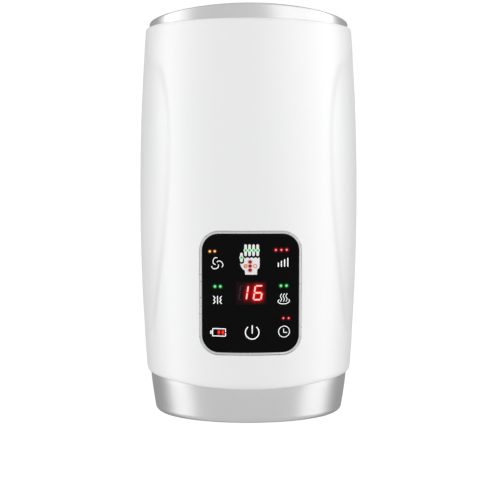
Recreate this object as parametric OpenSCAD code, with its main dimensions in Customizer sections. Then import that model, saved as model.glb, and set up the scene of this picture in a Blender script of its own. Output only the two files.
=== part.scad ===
// Cordless air-compression hand massager: an oval barrel on four feet, with the hand
// opening at its -Y end, a domed fingertip end at +Y and a curved touch panel on top.

/* [Housing] */
// Width of the barrel at its widest point
body_w = 120; // [118:1:122]
// Height of the barrel above its long axis
top_rise = 52; // [51:0.5:53]
// Height of the long axis above the flat underside
base_drop = 47; // [46.5:0.5:47]
// Wall thickness of the two white shells
shell_wall = 2.6; // [2.4:0.1:2.7]
// Depth of the leaf-shaped side recesses at their edge
leaf_depth = 1.0; // [0.8:0.1:1.1]
// Lean of the shells' end seams, as travel along Y for each millimetre of height
seam_lean = 0.047; // [0.04:0.001:0.05]

/* [Touch panel] */
// Width of the black glass
glass_w = 49.8; // [48:0.2:50]
// Length of the black glass
glass_l = 61.2; // [60:0.2:61.4]
// Corner radius of the black glass
glass_r = 8.5; // [7:0.5:9]
// Width of the bright frame round the glass
bezel_w = 1.2; // [0.9:0.1:1.3]

/* [Hand chamber] */
// Inner width of the hand chamber
chamber_w = 94; // [92:1:94]
// Corner radius of the hand chamber
chamber_r = 16; // [15:0.5:17]
// Thickness of the two press cushions
cushion_t = 7; // [6:0.5:7]
// Height of the massage domes above their plate
dome_h = 5.5; // [4.5:0.5:5.5]

/* [Feet] */
// Height that the feet stand below the shell
foot_h = 3; // [3:0.5:4]
// Diameter of a foot
foot_d = 12; // [10:1:13]

/* [Hidden] */

// The barrel is two half-ovals on one axis, bowed along its length.
axis_z = foot_h + base_drop;
half_w = body_w / 2;
low_rise = base_drop + 3;
glue = 0.15;                         // film of glue between a foot and the shell
bow_r = 1200;
widest_y = 6;
shell_y = [-90.8, 98.5];
front_lip = [1.8, 5];                // how far a shell edge rounds in, and over what length
rear_lip = [1.4, 3];
seam_gap = 0.4;

ring_w = 108.4;                      // mouth ring at the seam
ring_wall = 1.8;
mouth_y = -113;
rim_r = 4;
ring_flange_y = [-84, -82.2];
cap_w = 109.2;                       // rear cap at the seam
cap_wall = 2;
dome_y = [99.2, 110.4];
cap_front = 88;
tuck = 1;                            // how far ring and cap step in where a shell covers them

panel_y = -44;
panel_proud = 0.3;
glass_t = 1.5;
ledge = 2.6;

roof_z = 74;                         // underside of the chamber roof
floor_z = 22;                        // top of the chamber floor
frame_t = 1.5;
chamber_y = [-89, 80];
lining_t = 1.2;
airbag_t = 4;
plate_t = 1.8;
airbag_w = 60;
plate_w = 70;
cushion_w = 76;
palm_y = [-74, -2];
finger_y = [3, 75];
dome_plate_t = 2.5;
film_t = 0.4;
floor_pad_t = 3.2;

boss_d = 6.5;
pilot_d = 2.6;
screw_d = 2.5;
top_boss = [26, axis_z + 35];        // x and z of the bosses that take the end screws
low_boss = [24, axis_z - 33.5];
plate_y = [-82, -80];                // front plate
bulkhead_y = [85, 87];
top_post = [34, [-50, 66]];          // x and the two Y places of the posts for the frames
low_post = [28.4, [-74.5, 76.5]];
cavity_z = foot_h + shell_wall;      // inside of the flat underside

board_t = 1.6;
display_z = 89;                      // underside of the display board
pump = [-14, -4, roof_z + frame_t + 11];
pump_d = 20;
motor_l = 26;
manifold = [0, 58, 83];              // middle of its front face
valve_x = [2.5, 15.5];
valve_l = 20;
valve_w = 12;
plunger_travel = 1.5;
nipple_d = 4.2;
palm_port = [29, -12];
finger_port = [-29.5, 44];
vibe = [0, -62, 13.2];
socket_z = axis_z - 22;

// Lengths and curves

function along(a, b, n) = [for (i = [0 : n]) a + (b - a) * i / n];
function bow(y) = bow_r - sqrt(bow_r * bow_r - (y - widest_y) * (y - widest_y));
function barrel_r(y) = half_w - bow(y);
function band_r(y, w, depth) = w / 2 - 0.105 * depth - depth * depth / 500;
function shell_edge(y0, lip, toward) = [for (t = [90 : -22.5 : 0])
    [barrel_r(y0 - toward * lip[1]) - lip[0] * (1 - cos(t)), y0 - toward * lip[1] * (1 - sin(t))]];

// Turns an outline of [half-width, y] about the barrel's axis and flattens it into half an oval.
module half_barrel(outline, upper) {
    translate([0, 0, axis_z])
        scale([1, 1, (upper ? top_rise : low_rise) / half_w])
            rotate([0, upper ? 180 : 0, 0])
                rotate([-90, 0, 0])
                    rotate_extrude(angle = 180, $fn = 120)
                        polygon(outline);
}

module oval_band(outline) {
    half_barrel(outline, true);
    half_barrel(outline, false);
}

// The room inside the barrel, drawn in by inset, as one solid half.
module barrel_core(inset, y0, y1, upper) {
    half_barrel(concat([[0, y0]],
        [for (y = along(y0, y1, 8)) [barrel_r(y) - inset, y]],
        [[0, y1]]), upper);
}

// The part of the upper barrel between two depths below its surface, over the panel.
module panel_layer(outer, inner) {
    ends = [panel_y - glass_l / 2 - 5, panel_y + glass_l / 2 + 5];
    half_barrel(concat(
        [for (y = along(ends[0], ends[1], 8)) [barrel_r(y) - outer, y]],
        [for (y = along(ends[1], ends[0], 8)) [barrel_r(y) - inner, y]]), true);
}

module lean() {
    multmatrix([[1, 0, 0, 0], [0, 1, -seam_lean, seam_lean * axis_z], [0, 0, 1, 0], [0, 0, 0, 1]])
        children();
}

module above(z) {
    translate([-100, -150, z])
        cube([200, 300, 100]);
}

module below(z) {
    translate([-100, -150, z - 100])
        cube([200, 300, 100]);
}

module rounded_outline(w, l, r) {
    square([w - 2 * r, l], center = true);
    square([w, l - 2 * r], center = true);
    for (x = [-1, 1], y = [-1, 1])
        translate([x * (w / 2 - r), y * (l / 2 - r)])
            circle(r = r, $fn = 48);
}

module slab(w, l, r, z0, z1, y = 0, x = 0) {
    translate([x, y, z0])
        linear_extrude(height = z1 - z0)
            rounded_outline(w, l, r);
}

module panel_prism(grow) {
    slab(glass_w + 2 * grow, glass_l + 2 * grow, glass_r + grow, display_z, 120, panel_y);
}

module y_bar(x, z, d, y0, y1) {
    translate([x, y0, z])
        rotate([-90, 0, 0])
            cylinder(d = d, h = y1 - y0, $fn = 48);
}

module x_bar(y, z, d, x0, x1) {
    translate([x0, y, z])
        rotate([0, 90, 0])
            cylinder(d = d, h = x1 - x0, $fn = 48);
}

module z_bar(x, y, d, z0, z1) {
    translate([x, y, z0])
        cylinder(d = d, h = z1 - z0, $fn = 48);
}

module box(x, y, z) {
    translate([x[0], y[0], z[0]])
        cube([x[1] - x[0], y[1] - y[0], z[1] - z[0]]);
}

// The hand chamber's outline, as a bar along Y.
module chamber(grow, y0, y1) {
    translate([0, y1, (roof_z + floor_z) / 2])
        rotate([90, 0, 0])
            linear_extrude(height = y1 - y0)
                rounded_outline(chamber_w + 2 * grow, roof_z - floor_z + 2 * grow, chamber_r + grow);
}

// Closed skin over rings that all have the same number of points.
module skin(rings, looped = false) {
    n = len(rings[0]);
    m = len(rings);
    sides = [for (i = [0 : looped ? m - 1 : m - 2], j = [0 : n - 1])
        let (a = i * n, b = ((i + 1) % m) * n, k = (j + 1) % n)
        each [[a + j, a + k, b + k], [a + j, b + k, b + j]]];
    caps = looped ? [] : [[for (j = [n - 1 : -1 : 0]) j], [for (j = [0 : n - 1]) (m - 1) * n + j]];
    polyhedron(points = [for (r = rings) each r], faces = concat(sides, caps));
}

function unit(v) = v / norm(v);
function spline(p, k, t) =
    let (a = p[max(k - 1, 0)], b = p[k], c = p[k + 1], d = p[min(k + 2, len(p) - 1)])
    0.5 * ((2 * b) + (c - a) * t + (2 * a - 5 * b + 4 * c - d) * t * t
        + (3 * b - a - 3 * c + d) * t * t * t);
function smooth_path(p, steps) = concat(
    [for (k = [0 : len(p) - 2], s = [0 : steps - 1]) spline(p, k, s / steps)], [p[len(p) - 1]]);
function heading(p, i) = unit(p[min(i + 1, len(p) - 1)] - p[max(i - 1, 0)]);
function square_to(v, t) = unit(v - (v * t) * t);

// A round bar of one diameter that follows a list of points.
module swept(p, d, sides) {
    start = abs(heading(p, 0)[2]) > 0.9 ? [1, 0, 0] : [0, 0, 1];
    across = [for (i = 0, v = square_to(start, heading(p, 0)); i < len(p);
        i = i + 1, v = i < len(p) ? square_to(v, heading(p, i)) : v) v];
    skin([for (i = [0 : len(p) - 1])
        let (t = heading(p, i), u = across[i], w = cross(u, t))
        [for (j = [0 : sides - 1])
            p[i] + d / 2 * (cos(360 * j / sides) * u + sin(360 * j / sides) * w)]]);
}

// A tube or wire whose first and last stretches run straight.
module hose(route, d) {
    n = len(route) - 1;
    swept(concat([route[0]], smooth_path([for (i = [1 : n - 1]) route[i]], 4), [route[n]]), d, 8);
}

// A point on a rounded oblong; fullness 2 is an ellipse and more is squarer.
function oblong(w, l, full, a) = [
    w / 2 * sign(cos(a)) * pow(abs(cos(a)), 2 / full),
    l / 2 * sign(sin(a)) * pow(abs(sin(a)), 2 / full)];

// A cushion that hangs from a flat back: drawn-in sides and a crowned face.
module cushion(w, y0, y1, top, t) {
    profile = [[0.5, 0], [0.94, 0], [0.985, 0.18], [1, 0.42], [0.975, 0.68], [0.9, 0.86],
        [0.75, 0.94], [0.5, 0.98], [0.2, 1]];
    translate([0, (y0 + y1) / 2, top])
        skin([for (q = profile) [for (j = [0 : 39])
            let (o = oblong(w * q[0], (y1 - y0) * q[0], 5, 9 * j)) [o[0], o[1], -t * q[1]]]]);
}

module coil(x, y0, y1, z, d, wire, turns) {
    steps = 8 * turns;
    swept([for (i = [0 : steps])
        [x + d / 2 * cos(45 * i), y0 + (y1 - y0) * i / steps, z + d / 2 * sin(45 * i)]], wire, 6);
}

// A screw along the Z axis: its head below z = 0 and its shank above.
module screw(l) {
    translate([0, 0, -1.8])
        cylinder(d = 5, h = 1.8, $fn = 36);
    cylinder(d = screw_d, h = l, $fn = 36);
}

// Housing

module shell_body(upper) {
    half_barrel(concat([[0, shell_y[0]]],
        shell_edge(shell_y[0], front_lip, -1),
        [for (y = along(shell_y[0] + front_lip[1], shell_y[1] - rear_lip[1], 20)) [barrel_r(y), y]],
        [for (k = [4 : -1 : 0]) shell_edge(shell_y[1], rear_lip, 1)[k]],
        [[0, shell_y[1]]]), upper);
}

module shell_room(upper) {
    barrel_core(shell_wall, shell_y[0] - 5, shell_y[1] + 5, upper);
}

// Outline, seen from the side, of the leaf-shaped recess: low tips and one skewed crest.
function leaf_rise(y) = y > 31
    ? 25 + 12.6 * sqrt(max(0, 1 - pow((y - 31) / 47, 2)))
    : 24 + 13.6 * (1 - pow((31 - y) / 94.5, 2.15));

module leaf_recess() {
    difference() {
        translate([0, 0, axis_z])
            rotate([90, 0, 90])
                linear_extrude(height = body_w + 20, center = true)
                    polygon(concat([[-75, -1]],
                        [for (y = along(-63.5, 31, 14)) [y, leaf_rise(y)]],
                        [for (t = [75 : -15 : 0]) [31 + 47 * cos(t), 25 + 12.6 * sin(t)]],
                        [[88, -1]]));
        translate([0, 0, axis_z])
            scale([1, 1, 1 - 2 * leaf_depth / top_rise])
                translate([0, 0, -axis_z])
                    barrel_core(0, -100, 100, true);
    }
}

module end_boss(at, toward, y0, y1) {
    y_bar(at[0], at[1], boss_d, y0, y1);
    box([at[0] - 1, at[0] + 1], [y0, y1], toward > 0 ? [at[1], at[1] + 16] : [at[1] - 16, at[1]]);
}

module end_bores(at) {
    for (s = [-1, 1])
        y_bar(s * at[0], at[1], pilot_d, -81, 86);
}

module shell_bosses(upper) {
    at = upper ? top_boss : low_boss;
    intersection() {
        for (s = [-1, 1], y = [[-79.8, -70], [74, 84.8]])
            end_boss([s * at[0], at[1]], upper ? 1 : -1, y[0], y[1]);
        barrel_core(shell_wall / 2, -90, 95, upper);
    }
}

module upper_shell() {
    color("white")
        difference() {
            union() {
                lean()
                    difference() {
                        shell_body(true);
                        shell_room(true);
                    }
                shell_bosses(true);
                intersection() {
                    for (s = [-1, 1], y = top_post[1])
                        z_bar(s * top_post[0], y, boss_d, roof_z + frame_t + 0.2, 100);
                    barrel_core(shell_wall / 2, -90, 95, true);
                }
            }
            leaf_recess();
            panel_prism(-ledge);
            intersection() {
                panel_prism(bezel_w + 0.1);
                panel_layer(-3, glass_t + 0.1);
            }
            end_bores(top_boss);
            for (s = [-1, 1], y = top_post[1])
                z_bar(s * top_post[0], y, pilot_d, roof_z, roof_z + 11);
        }
}

module lower_shell() {
    color("white")
        difference() {
            union() {
                lean()
                    difference() {
                        intersection() {
                            shell_body(false);
                            above(foot_h);
                        }
                        intersection() {
                            shell_room(false);
                            above(cavity_z);
                        }
                    }
                shell_bosses(false);
                intersection() {
                    union() {
                        for (s = [-1, 1], y = low_post[1])
                            z_bar(s * low_post[0], y, boss_d, foot_h, floor_z - frame_t - 0.1);
                        for (x = [-1, 1], y = [-46, 2])
                            z_bar(x * 13, y, 5, foot_h, cavity_z + 0.8);
                    }
                    barrel_core(shell_wall / 2, -90, 95, false);
                    above(foot_h + 1);
                }
            }
            end_bores(low_boss);
            for (s = [-1, 1], y = low_post[1])
                z_bar(s * low_post[0], y, pilot_d, floor_z - 12, floor_z);
        }
}

// Ring or cap: the part that a shell covers steps in by tuck, along the leaning seam.
module tuck_cut(w, seam, toward) {
    far = seam - toward * 30;
    lean() {
        oval_band([[w / 2 - tuck, seam], [w, seam], [w, far], [w / 2 - tuck, far]]);
        box([-40, 40], [min(seam, far), max(seam, far)], [0, cavity_z + 0.2]);
    }
}

module mouth_ring() {
    seam = shell_y[0] - seam_gap;
    bead = [band_r(0, ring_w, 17) - rim_r, mouth_y + rim_r];
    color("silver")
        difference() {
            oval_band(concat(
                [[ring_w / 2, ring_flange_y[1]]],
                [for (d = [0 : 4.25 : 17]) [band_r(0, ring_w, d), -92 - d]],
                [for (t = [15 : 15 : 120]) bead + rim_r * [cos(t), -sin(t)]],
                [for (t = [120 : -30 : 30]) bead + (rim_r - ring_wall) * [cos(t), -sin(t)]],
                [for (d = [17 : -8.5 : 0]) [band_r(0, ring_w, d) - ring_wall, -92 - d]],
                [[ring_w / 2 - tuck - ring_wall, ring_flange_y[0]],
                    [40, ring_flange_y[0]],
                    [40, ring_flange_y[1]]]));
            tuck_cut(ring_w, seam, -1);
            chamber(frame_t + 0.3, -90, -80);
            for (s = [-1, 1], at = [top_boss, low_boss])
                y_bar(s * at[0], at[1], screw_d + 0.4, -86, -80);
        }
}

module rear_cap() {
    seam = shell_y[1] + seam_gap;
    dome = dome_y[1] - dome_y[0];
    color("silver")
        difference() {
            union() {
                oval_band(concat(
                    [[cap_w / 2, cap_front]],
                    [for (t = [0 : 7.5 : 90])
                        [cap_w / 2 * cos(t), dome_y[0] + dome * sin(t)]],
                    [for (t = [90 : -15 : 0])
                        [(cap_w / 2 - cap_wall) * cos(t), dome_y[0] + (dome - cap_wall) * sin(t)]],
                    [[cap_w / 2 - tuck - cap_wall, cap_front]]));
                intersection() {
                    box([-9, 9], [101.6, 107.4], [socket_z - 6, socket_z + 6]);
                    oval_band([[0, 90], [cap_w / 2 - 9, 90], [cap_w / 2 - 9, 108], [0, 108]]);
                }
            }
            tuck_cut(cap_w, seam, 1);
            translate([0, 130, socket_z])
                rotate([90, 0, 0])
                    linear_extrude(height = 23.2)
                        rounded_outline(13, 7, 3.4);
            translate([0, 130, socket_z])
                rotate([90, 0, 0])
                    linear_extrude(height = 40)
                        rounded_outline(9.3, 3.6, 1.7);
        }
}

module panel_bezel() {
    color("silver")
        intersection() {
            difference() {
                panel_prism(bezel_w);
                panel_prism(0.05);
            }
            panel_layer(-panel_proud, glass_t + 0.05);
        }
}

module touch_panel() {
    color("black")
        intersection() {
            panel_prism(0);
            panel_layer(-0.1, glass_t + 0.05);
        }
}

// Places of the lamps on the panel, as [x, y].
panel_lamps = [[-20.7, -22.5], [-18.2, -22.5], [12.9, -22], [15.8, -22], [18.6, -22],
    [-18.3, -40.3], [-15.4, -40.3], [15.5, -40.3], [18.3, -40.3], [16.6, -56.8], [19.5, -56.8],
    [-16.2, -64], [-14, -64]];
hand_lamps = [[-2.6, -21.9], [-0.5, -21.9], [1.5, -21.9], [3.6, -21.9], [-4.7, -25.6],
    [-0.3, -27.8], [-0.3, -32.2], [-2.6, -30], [2.3, -30]];

module lamp_places() {
    for (p = concat(panel_lamps, hand_lamps))
        translate([p[0], p[1], 0])
            children();
}

module light_box() {
    color("dimgray")
        difference() {
            intersection() {
                panel_prism(-ledge - 0.3);
                barrel_core(glass_t + 0.2, -85, 0, true);
                above(display_z + board_t + 0.1);
            }
            slab(17.2, 13.2, 1, 80, 120, panel_y);
            lamp_places()
                z_bar(0, 0, 1.7, 80, 120);
        }
}

module display_board() {
    color("darkgreen")
        difference() {
            slab(44, 56, 4, display_z, display_z + board_t, panel_y);
            for (x = [-19.5, 19.5], y = [-24.5, 24.5])
                z_bar(x, panel_y + y, 2.6, 80, 95);
            display_pins(0.8);
        }
}

module display_pins(d) {
    for (x = [-5.08 : 2.54 : 5.08], y = [-1, 1])
        z_bar(x, panel_y + 4.6 * y, d, display_z - 2, display_z + board_t + 0.5);
}

module digit_display() {
    color("darkred")
        union() {
            slab(16.6, 12.6, 0.8, display_z + board_t, 98.6, panel_y);
            display_pins(0.5);
        }
}

module indicator_lamps() {
    color("white")
        lamp_places()
            box([-0.55, 0.55], [-0.55, 0.55], [display_z + board_t, display_z + board_t + 0.9]);
}

module rubber_feet() {
    color("dimgray")
        difference() {
            for (x = [-24, 24], y = [-60, 66])
                translate([x, y, 0])
                    rotate_extrude($fn = 48)
                        polygon([[0, 0], [foot_d / 2 - 0.8, 0], [foot_d / 2, 0.8],
                            [foot_d / 2, 11], [0, 11]]);
            lean()
                intersection() {
                    barrel_core(-glue, -100, 100, false);
                    above(foot_h - glue);
                }
        }
}

module end_plate(w, y) {
    translate([0, y[1], axis_z])
        rotate([90, 0, 0])
            linear_extrude(height = y[1] - y[0])
                polygon([for (a = [0 : 4 : 356])
                    w / 2 * [cos(a), sin(a) * (a < 180 ? top_rise : low_rise) / half_w]]);
}

module front_plate() {
    color("gray")
        difference() {
            end_plate(ring_w - 2 * tuck - 1, plate_y);
            chamber(frame_t + 0.2, -90, -70);
            for (s = [-1, 1], at = [top_boss, low_boss])
                y_bar(s * at[0], at[1], screw_d + 0.4, -90, -70);
        }
}

module rear_bulkhead() {
    color("gray")
        difference() {
            union() {
                end_plate(cap_w - 2 * tuck - 2 * cap_wall - 1, bulkhead_y);
                for (x = [-8.5, 8.5])
                    box([x - 1.5, x + 1.5], [bulkhead_y[1], 101.4], [socket_z - 8, socket_z - 3.3]);
            }
            for (s = [-1, 1], at = [top_boss, low_boss])
                y_bar(s * at[0], at[1], screw_d + 0.4, 80, 90);
            box([12, 26], [80, 90], [12, 17]);
            y_bar(0, 62, 8, 80, 90);
        }
}

module end_screws() {
    color("silver")
        for (s = [-1, 1], at = [top_boss, low_boss]) {
            translate([s * at[0], ring_flange_y[0], at[1]])
                rotate([-90, 0, 0])
                    screw(11);
            translate([s * at[0], bulkhead_y[1], at[1]])
                rotate([90, 0, 0])
                    screw(9);
        }
}

// Hand chamber

module frame_half(upper) {
    difference() {
        intersection() {
            chamber(frame_t, chamber_y[0], chamber_y[1] + frame_t);
            if (upper) above(axis_z);
            else below(axis_z);
        }
        chamber(0, chamber_y[0] - 1, chamber_y[1]);
    }
}

module upper_frame() {
    color("lightgray")
        difference() {
            union() {
                frame_half(true);
                for (s = [-1, 1], y = top_post[1])
                    z_bar(s * top_post[0], y, 8, roof_z - 1, roof_z + frame_t + 0.1);
                for (p = [palm_port, finger_port])
                    z_bar(p[0], p[1], nipple_d, roof_z, roof_z + frame_t + 3.5);
                for (x = [-20, 20], y = [-60, -30])
                    z_bar(x, y, 4, roof_z, display_z);
            }
            for (s = [-1, 1], y = top_post[1])
                z_bar(s * top_post[0], y, screw_d + 0.4, 60, 90);
            for (p = [palm_port, finger_port])
                z_bar(p[0], p[1], nipple_d - 1.8, 60, 90);
            for (x = [-38, 38], y = [-70 : 14 : 70])
                slab(5, 9, 2.4, 60, 90, y, x);
        }
}

module lower_frame() {
    color("lightgray")
        difference() {
            union() {
                frame_half(false);
                for (y = [-64 : 16 : 64])
                    box([-28, 28], [y - 0.6, y + 0.6], [floor_z - frame_t - 1.2, floor_z - frame_t + 0.5]);
            }
            for (s = [-1, 1], y = low_post[1])
                z_bar(s * low_post[0], y, screw_d + 0.4, 10, 30);
            slab(8, 20, 3.9, 10, 30, 30, 20);
        }
}

module frame_screws() {
    color("silver") {
        for (s = [-1, 1], y = top_post[1])
            translate([s * top_post[0], y, roof_z - 1])
                screw(11);
        for (s = [-1, 1], y = low_post[1])
            translate([s * low_post[0], y, floor_z])
                mirror([0, 0, 1])
                    screw(11);
    }
}

// A funnel from the mouth ring's rolled rim to the chamber's walls.
function funnel_ring(y, w, top, low, full, grow) = [for (j = [0 : 47])
    let (o = oblong(w + 2 * grow, 2, full, 7.5 * j))
    [o[0], y, axis_z + o[1] * (o[1] > 0 ? top + grow : low + grow)]];

module mouth_collar() {
    stations = [for (t = along(0, 1, 5)) let (s = t * t * (3 - 2 * t))
        [-110.5 + 21.2 * t, 95 - 0.6 * s, 40.6 - 16.2 * s, 38.8 - 10.6 * s, 2 + 2.4 * s * s]];
    color("dimgray")
        skin(concat(
            [for (q = stations) funnel_ring(q[0], q[1], q[2], q[3], q[4], 1.2)],
            [for (i = [5 : -1 : 0]) let (q = stations[i])
                funnel_ring(q[0], q[1], q[2], q[3], q[4], 0)]), looped = true);
}

module chamber_lining() {
    color("lightgray")
        difference() {
            chamber(-0.02, chamber_y[0] + 0.5, chamber_y[1] - 0.02);
            chamber(-lining_t, chamber_y[0] - 1, chamber_y[1] - lining_t);
            box([-40, 40], [-100, 100], [roof_z - 6, roof_z + 1]);
            box([-41, 41], [-100, 100], [floor_z - 1, floor_z + 7]);
        }
}

module airbag(y) {
    mid = (y[0] + y[1]) / 2;
    l = y[1] - y[0];
    slab(airbag_w - 2, l - 2, 9, roof_z - airbag_t, roof_z - airbag_t + 1, mid);
    slab(airbag_w, l, 10, roof_z - airbag_t + 1, roof_z - 1, mid);
    slab(airbag_w - 2, l - 2, 9, roof_z - 1, roof_z, mid);
}

module press_plate(y) {
    z = roof_z - airbag_t;
    difference() {
        slab(plate_w, y[1] - y[0], 12, z - plate_t, z, (y[0] + y[1]) / 2);
        for (x = [-18, 0, 18], t = [0.25, 0.5, 0.75])
            slab(12, 6, 2.9, z - plate_t - 1, z - plate_t + 0.8, y[0] + t * (y[1] - y[0]), x);
    }
}

module press_cushion(y) {
    cushion(cushion_w, y[0] - 1, y[1] + 1, roof_z - airbag_t - plate_t, cushion_t);
}

module palm_airbag() {
    color("gainsboro")
        airbag(palm_y);
}

module palm_press_plate() {
    color("lightgray")
        press_plate(palm_y);
}

module palm_cushion() {
    color("slategray")
        press_cushion(palm_y);
}

module finger_airbag() {
    color("gainsboro")
        airbag(finger_y);
}

module finger_press_plate() {
    color("lightgray")
        press_plate(finger_y);
}

module finger_cushion() {
    color("slategray")
        press_cushion(finger_y);
}

// Domes under the palm in staggered rows, and four columns of smaller ones under the fingers.
palm_domes = [for (r = [0 : 4], c = [0 : 3 + r % 2])
    [(c - (3 + r % 2) / 2) * 13, -60 + 12.5 * r, 5]];
finger_domes = [for (c = [0 : 3], r = [0 : 3]) [(c - 1.5) * 15, 16 + 14 * r, 4]];
massage_domes = concat(palm_domes, finger_domes);

module dome_places(grow) {
    for (p = massage_domes)
        translate([p[0], p[1], 0])
            cylinder(r = p[2] + grow, h = 60, $fn = 36);
}

module massage_plate() {
    top = floor_z + dome_plate_t;
    color("darkgray")
        union() {
            slab(62, 142, 10, floor_z, top, 2);
            for (p = massage_domes)
                translate([p[0], p[1], top])
                    rotate_extrude($fn = 36)
                        polygon(concat([[0, -0.2], [p[2], -0.2]],
                            [for (t = [0 : 15 : 90]) [p[2] * cos(t), dome_h * sin(t)]]));
        }
}

module heating_film() {
    z = floor_z + dome_plate_t;
    color("orange")
        difference() {
            slab(60, 138, 9, z, z + film_t, 2);
            dome_places(0.3);
        }
}

module floor_pad() {
    z = floor_z + dome_plate_t + film_t;
    color("slategray")
        difference() {
            slab(76, 152, 16, z, z + floor_pad_t, 1);
            dome_places(0.5);
        }
}

// Vibration unit under the palm

module vibration_motor() {
    color("silver")
        difference() {
            union() {
                x_bar(vibe[1], vibe[2], 10, -13, 9);
                x_bar(vibe[1], vibe[2], 5, 9, 10.5);
                x_bar(vibe[1], vibe[2], 8.5, -15, -13);
            }
            x_bar(vibe[1], vibe[2], 2.1, -10, 12);
        }
}

module vibration_weight() {
    color("gray")
        union() {
            difference() {
                x_bar(vibe[1], vibe[2], 11.5, 12, 18);
                box([11, 19], [vibe[1] - 7, vibe[1] + 7], [vibe[2] + 1.6, vibe[2] + 7]);
            }
            x_bar(vibe[1], vibe[2], 2, -9.5, 18.5);
        }
}

module vibration_clip() {
    color("lightgray")
        difference() {
            union() {
                box([-10, 6], [vibe[1] - 6.5, vibe[1] + 6.5], [vibe[2] - 6.5, floor_z - frame_t - 1.3]);
                box([-10, 6], [vibe[1] - 6.5, vibe[1] + 6.5], [vibe[2] - 6.5, vibe[2] - 5.1]);
            }
            x_bar(vibe[1], vibe[2], 10.1, -14, 10);
            box([-6, 2], [vibe[1] - 10, vibe[1] + 10], [vibe[2] - 3, vibe[2] + 3]);
        }
}

// Air pump: motor, crank, diaphragm and head in a row along Y

module pump_motor() {
    color("silver")
        difference() {
            union() {
                y_bar(pump[0], pump[2], pump_d, pump[1], pump[1] + motor_l);
                y_bar(pump[0], pump[2], 6, pump[1] - 1.5, pump[1]);
                for (s = [-1, 1])
                    box([pump[0] + s * 6 - 1.2, pump[0] + s * 6 + 1.2],
                        [pump[1] - 4, pump[1]], [pump[2] - 0.3, pump[2] + 0.3]);
            }
            y_bar(pump[0], pump[2], 2.1, pump[1] + 2, pump[1] + motor_l + 1);
            for (s = [-1, 1])
                box([pump[0] + s * 11.4 - 2, pump[0] + s * 11.4 + 2],
                    [pump[1] - 1, pump[1] + motor_l + 1], [pump[2] - 5, pump[2] + 5]);
        }
}

module pump_crank() {
    y = pump[1] + motor_l;
    color("ivory")
        union() {
            y_bar(pump[0], pump[2], 2, pump[1] + 2.5, y + 4);
            y_bar(pump[0], pump[2], 9, y + 2, y + 6);
            y_bar(pump[0], pump[2] - 2.4, 2.2, y + 5, y + 9);
        }
}

module pump_housing() {
    y = pump[1] + motor_l;
    color("dimgray")
        difference() {
            y_bar(pump[0], pump[2], pump_d, y + 0.1, y + 14);
            y_bar(pump[0], pump[2], pump_d - 3.2, y + 1.6, y + 15);
            y_bar(pump[0], pump[2], 4, y - 1, y + 3);
        }
}

module pump_diaphragm() {
    y = pump[1] + motor_l + 14;
    color("dimgray")
        union() {
            y_bar(pump[0], pump[2], pump_d, y + 0.05, y + 1.4);
            for (a = [0, 120, 240])
                y_bar(pump[0] + 4.6 * sin(a), pump[2] + 4.6 * cos(a), 5, y - 2.2, y + 0.5);
        }
}

module pump_head() {
    y = pump[1] + motor_l + 15.45;
    color("dimgray")
        difference() {
            union() {
                y_bar(pump[0], pump[2], pump_d, y, y + 5);
                y_bar(pump[0], pump[2], 13, y + 5, y + 8);
                y_bar(pump[0], pump[2], nipple_d, y + 8, y + 12);
            }
            y_bar(pump[0], pump[2], nipple_d - 1.8, y + 6, y + 13);
        }
}

module pump_cradle() {
    color("lightgray")
        difference() {
            for (y = [pump[1] + 5, pump[1] + 20])
                box([pump[0] - 11.5, pump[0] + 11.5], [y, y + 4], [roof_z + frame_t + 0.05, pump[2] - 3]);
            y_bar(pump[0], pump[2], pump_d + 0.1, pump[1] - 5, pump[1] + 40);
        }
}

module air_manifold() {
    y = manifold[1];
    color("ivory")
        difference() {
            union() {
                box([-22, 22], [y, y + 8], [roof_z + frame_t + 0.05, manifold[2] + 5.5]);
                y_bar(pump[0], pump[2], nipple_d, y - 4, y + 1);
                x_bar(y + 4, manifold[2] - 2, nipple_d, -26, 26);
            }
            y_bar(pump[0], pump[2], nipple_d - 1.8, y - 5, y + 4);
            x_bar(y + 4, manifold[2] - 2, nipple_d - 1.8, -27, 27);
            for (x = valve_x)
                y_bar(x, manifold[2], 2.4, y - 1, y + 4);
        }
}

// Release valves: a solenoid that draws its plunger off the manifold's port

module valve_body(x) {
    y = manifold[1];
    difference() {
        union() {
            box([x - valve_w / 2, x + valve_w / 2], [y - valve_l, y - valve_l + 1.2],
                [manifold[2] - 6, manifold[2] + 6]);
            box([x - valve_w / 2, x + valve_w / 2], [y - 1.3, y - 0.1],
                [manifold[2] - 6, manifold[2] + 6]);
            box([x - valve_w / 2, x + valve_w / 2], [y - valve_l, y - 0.1],
                [manifold[2] - 7.2, manifold[2] - 6]);
            y_bar(x, manifold[2], 10.6, y - valve_l + 1.2, y - 6);
            y_bar(x, manifold[2], 6.4, y - 6, y - 1.3);
        }
        y_bar(x, manifold[2], 4.2, y - valve_l + 3, y - 1.5);
        y_bar(x, manifold[2], 2.4, y - 2, y);
        for (s = [-1, 1])
            x_bar(y - 2.6, manifold[2], 1.4, s < 0 ? x - 4 : x, s < 0 ? x : x + 4);
    }
}

module valve_plunger(x) {
    y = manifold[1];
    y_bar(x, manifold[2], 4, y - 12, y - 3);
    y_bar(x, manifold[2], 3, y - 3, y - 1.7);
}

module valve_spring(x) {
    y = manifold[1];
    coil(x, y - valve_l + 3.4, y - 12.4, manifold[2], 3, 0.5, 5);
}

module palm_valve_body() {
    color("goldenrod")
        valve_body(valve_x[0]);
}

module palm_valve_plunger() {
    color("silver")
        valve_plunger(valve_x[0]);
}

module palm_valve_spring() {
    color("silver")
        valve_spring(valve_x[0]);
}

module finger_valve_body() {
    color("goldenrod")
        valve_body(valve_x[1]);
}

module finger_valve_plunger() {
    color("silver")
        valve_plunger(valve_x[1]);
}

module finger_valve_spring() {
    color("silver")
        valve_spring(valve_x[1]);
}

// Air tubes

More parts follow.
